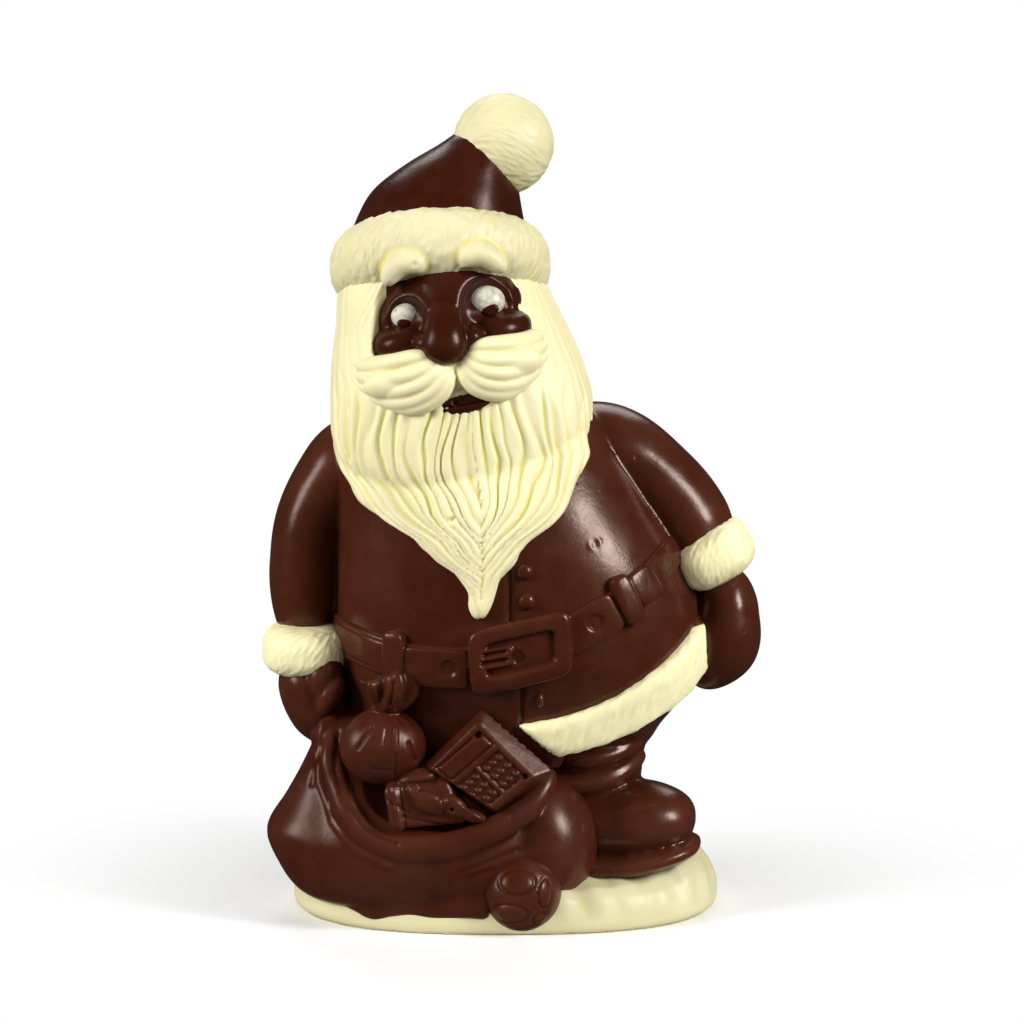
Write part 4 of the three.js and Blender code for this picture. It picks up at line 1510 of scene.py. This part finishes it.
def strand_number(x, z):
    """How many strands a point lies from the beard's middle line. The outer strands run along the two edges,
    and the inner ones close in on the middle line and end there one after another. Small waves in the line,
    the widths and the strands keep them from being even."""
    rows, upper = np.array(BEARD)[1:], np.array(HAIR_HALVES)
    middle_z, middle_x = np.array(STRAND_MIDDLE).T
    middle = np.interp(-z, -middle_z, middle_x)
    left, right = (np.interp(-z, -rows[:, 0], rows[:, column]) for column in (1, 2))
    widest = np.where(x < middle, middle_x[2] - rows[0, 1], rows[0, 2] - middle_x[2])
    half = np.where(x < middle, middle - left, right - middle)
    half = np.where(z > rows[0, 0], widest * np.interp(z, upper[::-1, 0], upper[::-1, 1]) / upper[1, 1], half)
    reach = widest * np.clip(half / widest, 0.4, 1) ** CONVERGENCE
    middle = middle + 0.45 * np.sin(z / 3.3 + 1)
    share = 1 + (np.abs(x - middle) - half) / reach
    inner = 1 - 0.45 * smoothstep(CHIN - 14, CHIN + 1, z) * bell(share, 0.45)
    number = share / inner * widest / STRAND_WIDTH
    number += 0.16 * np.sin(1.7 * number + 1) + 0.1 * np.sin(3.9 * number)
    side = np.sign(x - middle) * smoothstep(0, 1, number)
    waves = 0.26 * np.sin(z / 5.2 + 0.8 * number + side) + 0.1 * np.sin(z / 2.1 + 1.9 * number)
    return number + waves * smoothstep(0, 1, number) + 0.15 * side


def combed_beard(points, normals):
    """Broad flat strands with thin grooves between them, faint ones beside the face, and a pit."""
    x, y, z = points.T
    number = strand_number(x, z)
    low, high = smoothstep(92, 86, z), smoothstep(101, 108, z)
    facing = smoothstep(0.3 - 0.5 * low, 0.5 - 0.3 * low, -normals[:, 1])
    fading = 0.7 + 0.4 * np.sin(z / 5.7 + 2.4 * np.floor(number))
    middle = np.abs(number - np.round(number))
    broad = 0.16 * np.cos(2 * np.pi * middle) - STRAND_DEPTH * fading * bell(0.5 - middle, GROOVE)
    fine = 0.1 * np.cos(3.1 * np.pi * number + 1.2 * np.sin(z / 5)) + 0.12 * np.sin(0.5 * x + z / 3.4)
    parting = PARTING_DEPTH * trail(points, PARTING, PARTING_WIDTH)
    pit = 0.7 * spot(x, z, BEARD_PIT, 0.55)
    broad *= 0.45 + 0.55 * smoothstep(66, 84, z)
    return (broad * (1 - high) + fine * high - pit - parting) * facing


def hair_ridges(angle, down):
    """Wavy ridges on the sides of the hair and behind."""
    off = np.abs(np.angle(np.exp(1j * (angle + np.pi / 2))))
    wave = 2.2 * np.sin(5 * down + 2 * angle)
    behind = smoothstep(1.2, 1.5, off) * 0.8 * (np.abs(np.sin(17 * angle + wave)) ** 0.7 - 0.5)
    beside = smoothstep(0.85, 1.0, off) * (1 - smoothstep(1.2, 1.5, off))
    beside = beside * 0.35 * np.sin(44 * angle + 1.4 * wave)
    return behind + beside * (0.3 + 0.7 * smoothstep(0.36, 0.55, down)) - 0.5


def window():
    """The opening in the hair for the face: wider at the cheeks than at the brow."""

    def at(angle, down):
        share = np.sin(np.pi * down) ** 0.2 * squareness(angle, 6)
        depth = 15 * signed_power(np.cos(np.pi * down), 0.2)
        up = 8.4 * share * np.sin(angle)
        across = -0.2 + (14.2 - 0.18 * up) * share * np.cos(angle)
        points = np.stack([across, -31 + depth, 1.4 + up], 1)
        return np.stack(on_head(*points.T), 1)

    made = net("window", 64, 48, at)
    edit_all(made)
    bpy.ops.object.mode_set(mode="OBJECT")
    return made


MOUTH, MOUTH_HALVES = (0.5, -16.0), (4.7, 1.55)
hair_parts = [
    standing("hair", HAIR, 200, 120, ends=HAIR_ENDS, power=2.45, relief=hair_ridges),
    net("slab", 200, 160, slab),
]
mouth_halves = (MOUTH_HALVES[0], 4.4, MOUTH_HALVES[1])
beard = carve(cast("hair", hair_parts, voxel=0.5, rounds=3), window())
beard = carve(beard, leaning("mouth_slot", (MOUTH[0], -29, MOUTH[1]), mouth_halves))
beard = relieve(cast("hair_and_beard", [beard], voxel=0.36, rounds=1), combed_beard)
finish_piece(beard, IVORY, reach=0.3, rounds=14)

# %% [markdown]
# A lobe of the moustache is five fat strands on a core. They start under the nose, puff out and lie back
# against the hair. The dark lips show in a slot below them.

# %% Moustache
# each strand: its stops across the face and up it, and then a size for each stop
MOUSTACHE = [
    [(3.2, -5.8), (6.6, -5.4), (10.4, -5.6), (14.2, -5.6), (17.2, -5.2)],
    [(2.6, -6.4), (5.8, -7.8), (9.6, -8.4), (13.8, -8.0), (17.6, -7.1)],
    [(2.0, -6.8), (4.6, -9.5), (8.6, -10.8), (13, -10.5), (17.4, -9.0)],
    [(1.5, -7.2), (3.3, -10.7), (6.6, -12.8), (11, -13), (16.2, -11.0)],
    [(1.2, -8.0), (1.8, -11), (4.0, -13.4), (8.2, -14.6), (14.2, -12.9)],
]
STRAND_SIZES = (1.0, 1.6, 1.75, 1.75, 1.45)
# each lobe: how much longer it is, how far its end sags, how far it bends back
LOBES = {-1: (1.08, 0.003, 0.052), 1: (0.98, 0.005, 0.074)}


def on_moustache(side, across, up, lift=0.0):
    """A place on the puffed lobe: furthest forward near its inner end, and back against the hair outside.
    The lobe on the viewer's left is longer, and the one on the right hangs lower."""
    longer, sag, back = LOBES[side]
    across *= longer
    y = -27.2 + back * (across - 5) ** 2 + 0.06 * (up + 10) ** 2 + lift
    return on_head(side * across, y, up - sag * across**2)


lobes = [leaning("filling", (0, -24.4, -9.6), (2.8, 2.2, 4.2))]
for side in (-1, 1):
    core_place = on_moustache(side, 8.4, -9.6, lift=3.2)
    lobes.append(ball("core", core_place, (8.2 * LOBES[side][0], 4.2, 3.8), 48, 32, lean=HEAD_TILT))
    for strand in MOUSTACHE:
        stops = [(*on_moustache(side, *place), size, 1.3 * size) for place, size in zip(strand, STRAND_SIZES)]
        lobes.append(limb("strand", stops, 28, 60, ends=0.2))
moustache = cast("moustache", lobes, voxel=0.28, rounds=1)
finish_piece(moustache, IVORY, reach=0.3, rounds=12)

# %% Mouth
lips = leaning("lips", (MOUTH[0], -25.2, MOUTH[1]), (MOUTH_HALVES[0] + 0.3, 1.6, MOUTH_HALVES[1] + 0.4))
LIP_PIT = (-1.2, -15.2)


def mouth_relief(points, normals):
    """The line between the lips, and a pit."""
    across, up = in_head(points)
    return -0.5 * bell(up - MOUTH[1], 0.3) - 0.8 * spot(across, up, LIP_PIT, 0.5)


mouth = relieve(cast("mouth", [lips], voxel=0.2, rounds=1), mouth_relief)
finish_piece(mouth, FACE_DARK_SHADED)

# %% [markdown]
# ## Hat, band and pompom
# The hat slumps up to its pompom. The band is a thick ring of fur that tips back with the hat, and the two
# curled brows grow out of its lower edge.

# %% Hat
hat = cast("hat", [standing("hat", HAT, 120, 90, ends=0.12)], voxel=0.5, rounds=3)
finish_piece(hat, FACE_DARK_SHADED)

# %% Hat band and brows
BAND_CENTRE = (-13.9, 0.4, 126.4)
band_body = ball("band", BAND_CENTRE, (21.2, 23.4, 9.4), 160, 80, power=2.6, plan=2.1, lean=2, tip=-21)
# each stop of a brow: across, up, half width
BROW = [(5.1, 11.2, 2.5), (7.3, 11.4, 2.7), (9.2, 10.3, 2.4), (10.5, 8.7, 1.9), (11.0, 7.2, 1.3)]
BROW_DEPTH, BROW_SHIFT, BROW_SLANT = -20.1, 0.9, 0.06
BROW_BUBBLE = (-5.0, 11.2)


def in_brows(points):
    """Across and up from the point midway between the brows, which lean less than the head does."""
    across, up = in_head(points)
    return across - BROW_SHIFT, up + BROW_SLANT * (across - BROW_SHIFT)


def brow_reach(points):
    """How far out points are from the nearer brow's middle line, as a share of its half width."""
    across, up = in_brows(points)
    steps = between(BROW, np.linspace(0, 1, 40))
    reach = [np.hypot(np.abs(across) - x, up - z) / half for x, z, half in steps]
    return np.min(reach, axis=0)


def brow_outline(points, normals):
    """A soft groove round each brow, and a bubble in one of them."""
    facing = smoothstep(0.1, 0.4, -normals[:, 1]) * (points[:, 1] < -12)
    outline = bell(brow_reach(points) - 1.1, 0.2)
    bubble = spot(*in_brows(points), BROW_BUBBLE, 0.5)
    return -(0.1 * outline + 0.4 * bubble) * facing


brows = []
for side in (-1, 1):
    stops = []
    for x, z, half in [(BROW[0][0] - 2.2, *BROW[0][1:]), *BROW]:
        place = on_head(BROW_SHIFT + side * x, BROW_DEPTH, z - side * BROW_SLANT * x)
        stops.append((*place, half, half + 0.5))
    brows.append(limb("brow", stops, 40, 60, ends=0.2))
hat_band = cast("hat_band", [band_body, *brows], voxel=0.4, rounds=7)
relieve(hat_band, brow_outline)
fur(
    hat_band,
    3400,
    lambda point, normal: (0.35, 0, 1),
    seed=11,
    length=1.4,
    width=0.4,
    depth=0.3,
    keep=lambda point: point[1] > -8 or brow_reach(point[None])[0] > 1.35,
)
finish_fur(hat_band, HAT_IVORY_SHADED)

# %% [markdown]
# The pompom is a ball whose fur sweeps round it.

# %% Pompom
POMPOM_CENTRE = (-1.7, 1.8, 150.1)


def swirl(point, normal):
    """Fur that sweeps round the ball from where the hat holds it."""
    x, z = point[0] - POMPOM_CENTRE[0], point[2] - POMPOM_CENTRE[2]
    return (1.0 - 0.05 * z, 0.4, -0.35 - 0.06 * x)


pompom = cast("pompom", [ball("pompom", POMPOM_CENTRE, (9.7, 9.7, 9.7), 80, 60)], voxel=0.3, rounds=1)
fur(pompom, 700, swirl, seed=21, length=1.7, width=0.36, depth=0.17)
finish_fur(pompom, HAT_IVORY_SHADED)

# %% [markdown]
# ## Floor, light and camera
# A plain pale floor, as in a small studio. A soft light from each side and one from behind make the gloss.
# Four more only fill the shadows, and the gloss doesn't show them. The camera looks down by ten degrees from
# straight in front.

# %% Floor
# in metres: the floor's radius, and from where to where it fades out
FLOOR_RADIUS, FLOOR_SOLID, FLOOR_FADE = 1.0, 0.03, 0.12
disc = {"vertices": 96, "radius": FLOOR_RADIUS, "fill_type": "NGON"}
floor = primitive("floor", bpy.ops.mesh.primitive_circle_add, **disc)
floor_material, floor_tree, floor_place = start_material("pale floor")
away = add_node(floor_tree, "ShaderNodeVectorMath", {"operation": "LENGTH"}, {0: floor_place}, out="Value")
floor_fade = 1 - ramp(floor_tree, away, FLOOR_SOLID, FLOOR_FADE)
finish_material(floor_tree, {"Base Color": (0.97, 0.97, 0.97, 1), "Roughness": 0.6, "Alpha": floor_fade})
floor.data.materials.append(floor_material)
floor.visible_glossy = False


# %% Lights
LIT_MIDDLE = Vector((0, 0, 0.08))


def softbox(name, azimuth, elevation, distance, size, power):
    """A rectangular light that faces the figure's middle."""
    light = bpy.data.lights.new(name, "AREA")
    light.shape = "RECTANGLE"
    light.size, light.size_y = size
    light.energy = power
    lamp = bpy.data.objects.new(name, light)
    bpy.context.scene.collection.objects.link(lamp)
    a, e = math.radians(azimuth), math.radians(elevation)
    away = Vector((math.sin(a) * math.cos(e), -math.cos(a) * math.cos(e), math.sin(e)))
    lamp.location = LIT_MIDDLE + distance * away
    lamp.rotation_euler = (-away).to_track_quat("-Z", "Y").to_euler()
    return lamp


# azimuth from the front to the viewer's right, elevation, distance, size, power, and if the gloss shows it
LIGHTS = {
    "right": (62, 27, 0.9, (0.26, 0.36), 7.3, True),
    "left": (-78, 22, 0.9, (0.26, 0.4), 3.0, True),
    "left_fill": (-62, 20, 0.9, (0.3, 0.4), 5.3, False),
    "right_fill": (50, 14, 0.9, (0.3, 0.4), 1.6, False),
    "front": (-12, 27, 1.0, (0.8, 0.6), 1.9, False),
    "top": (0, 78, 1.0, (0.7, 0.5), 0.7, False),
    "back": (180, 40, 1.1, (0.9, 0.5), 4, True),
}
for name, (*placed, in_gloss) in LIGHTS.items():
    softbox(name, *placed).visible_glossy = in_gloss

world = bpy.data.worlds.new("studio")
bpy.context.scene.world = world
world.use_nodes = True
sky_tree = world.node_tree
sky_tree.nodes.clear()
rays = add_node(sky_tree, "ShaderNodeLightPath", out="Is Camera Ray")
shown = add_node(sky_tree, "ShaderNodeBackground", None, {"Color": (1, 1, 1, 1), "Strength": 1.0})
felt = add_node(sky_tree, "ShaderNodeBackground", None, {"Color": (1, 1, 1, 1), "Strength": 0.03})
sky = add_node(sky_tree, "ShaderNodeMixShader", None, {0: rays, 1: felt, 2: shown})
add_output(sky_tree, "ShaderNodeOutputWorld", sky)
bpy.context.scene.view_settings.view_transform = "Standard"

# %% Camera
CAMERA_ELEVATION, CAMERA_DISTANCE, CAMERA_TARGET = 10, 0.85, Vector((0, 0, 0.0782))
MM_PER_PIXEL, PICTURE, SENSOR = 0.1957, 1024, 36.0
camera = bpy.data.objects.new("camera", bpy.data.cameras.new("camera"))
bpy.context.scene.collection.objects.link(camera)
elevation = math.radians(CAMERA_ELEVATION)
camera.location = CAMERA_TARGET + CAMERA_DISTANCE * Vector((0, -math.cos(elevation), math.sin(elevation)))
camera.rotation_euler = (math.radians(90) - elevation, 0, 0)
camera.data.sensor_width = SENSOR
camera.data.lens = CAMERA_DISTANCE / MM / MM_PER_PIXEL * SENSOR / PICTURE
bpy.context.scene.camera = camera
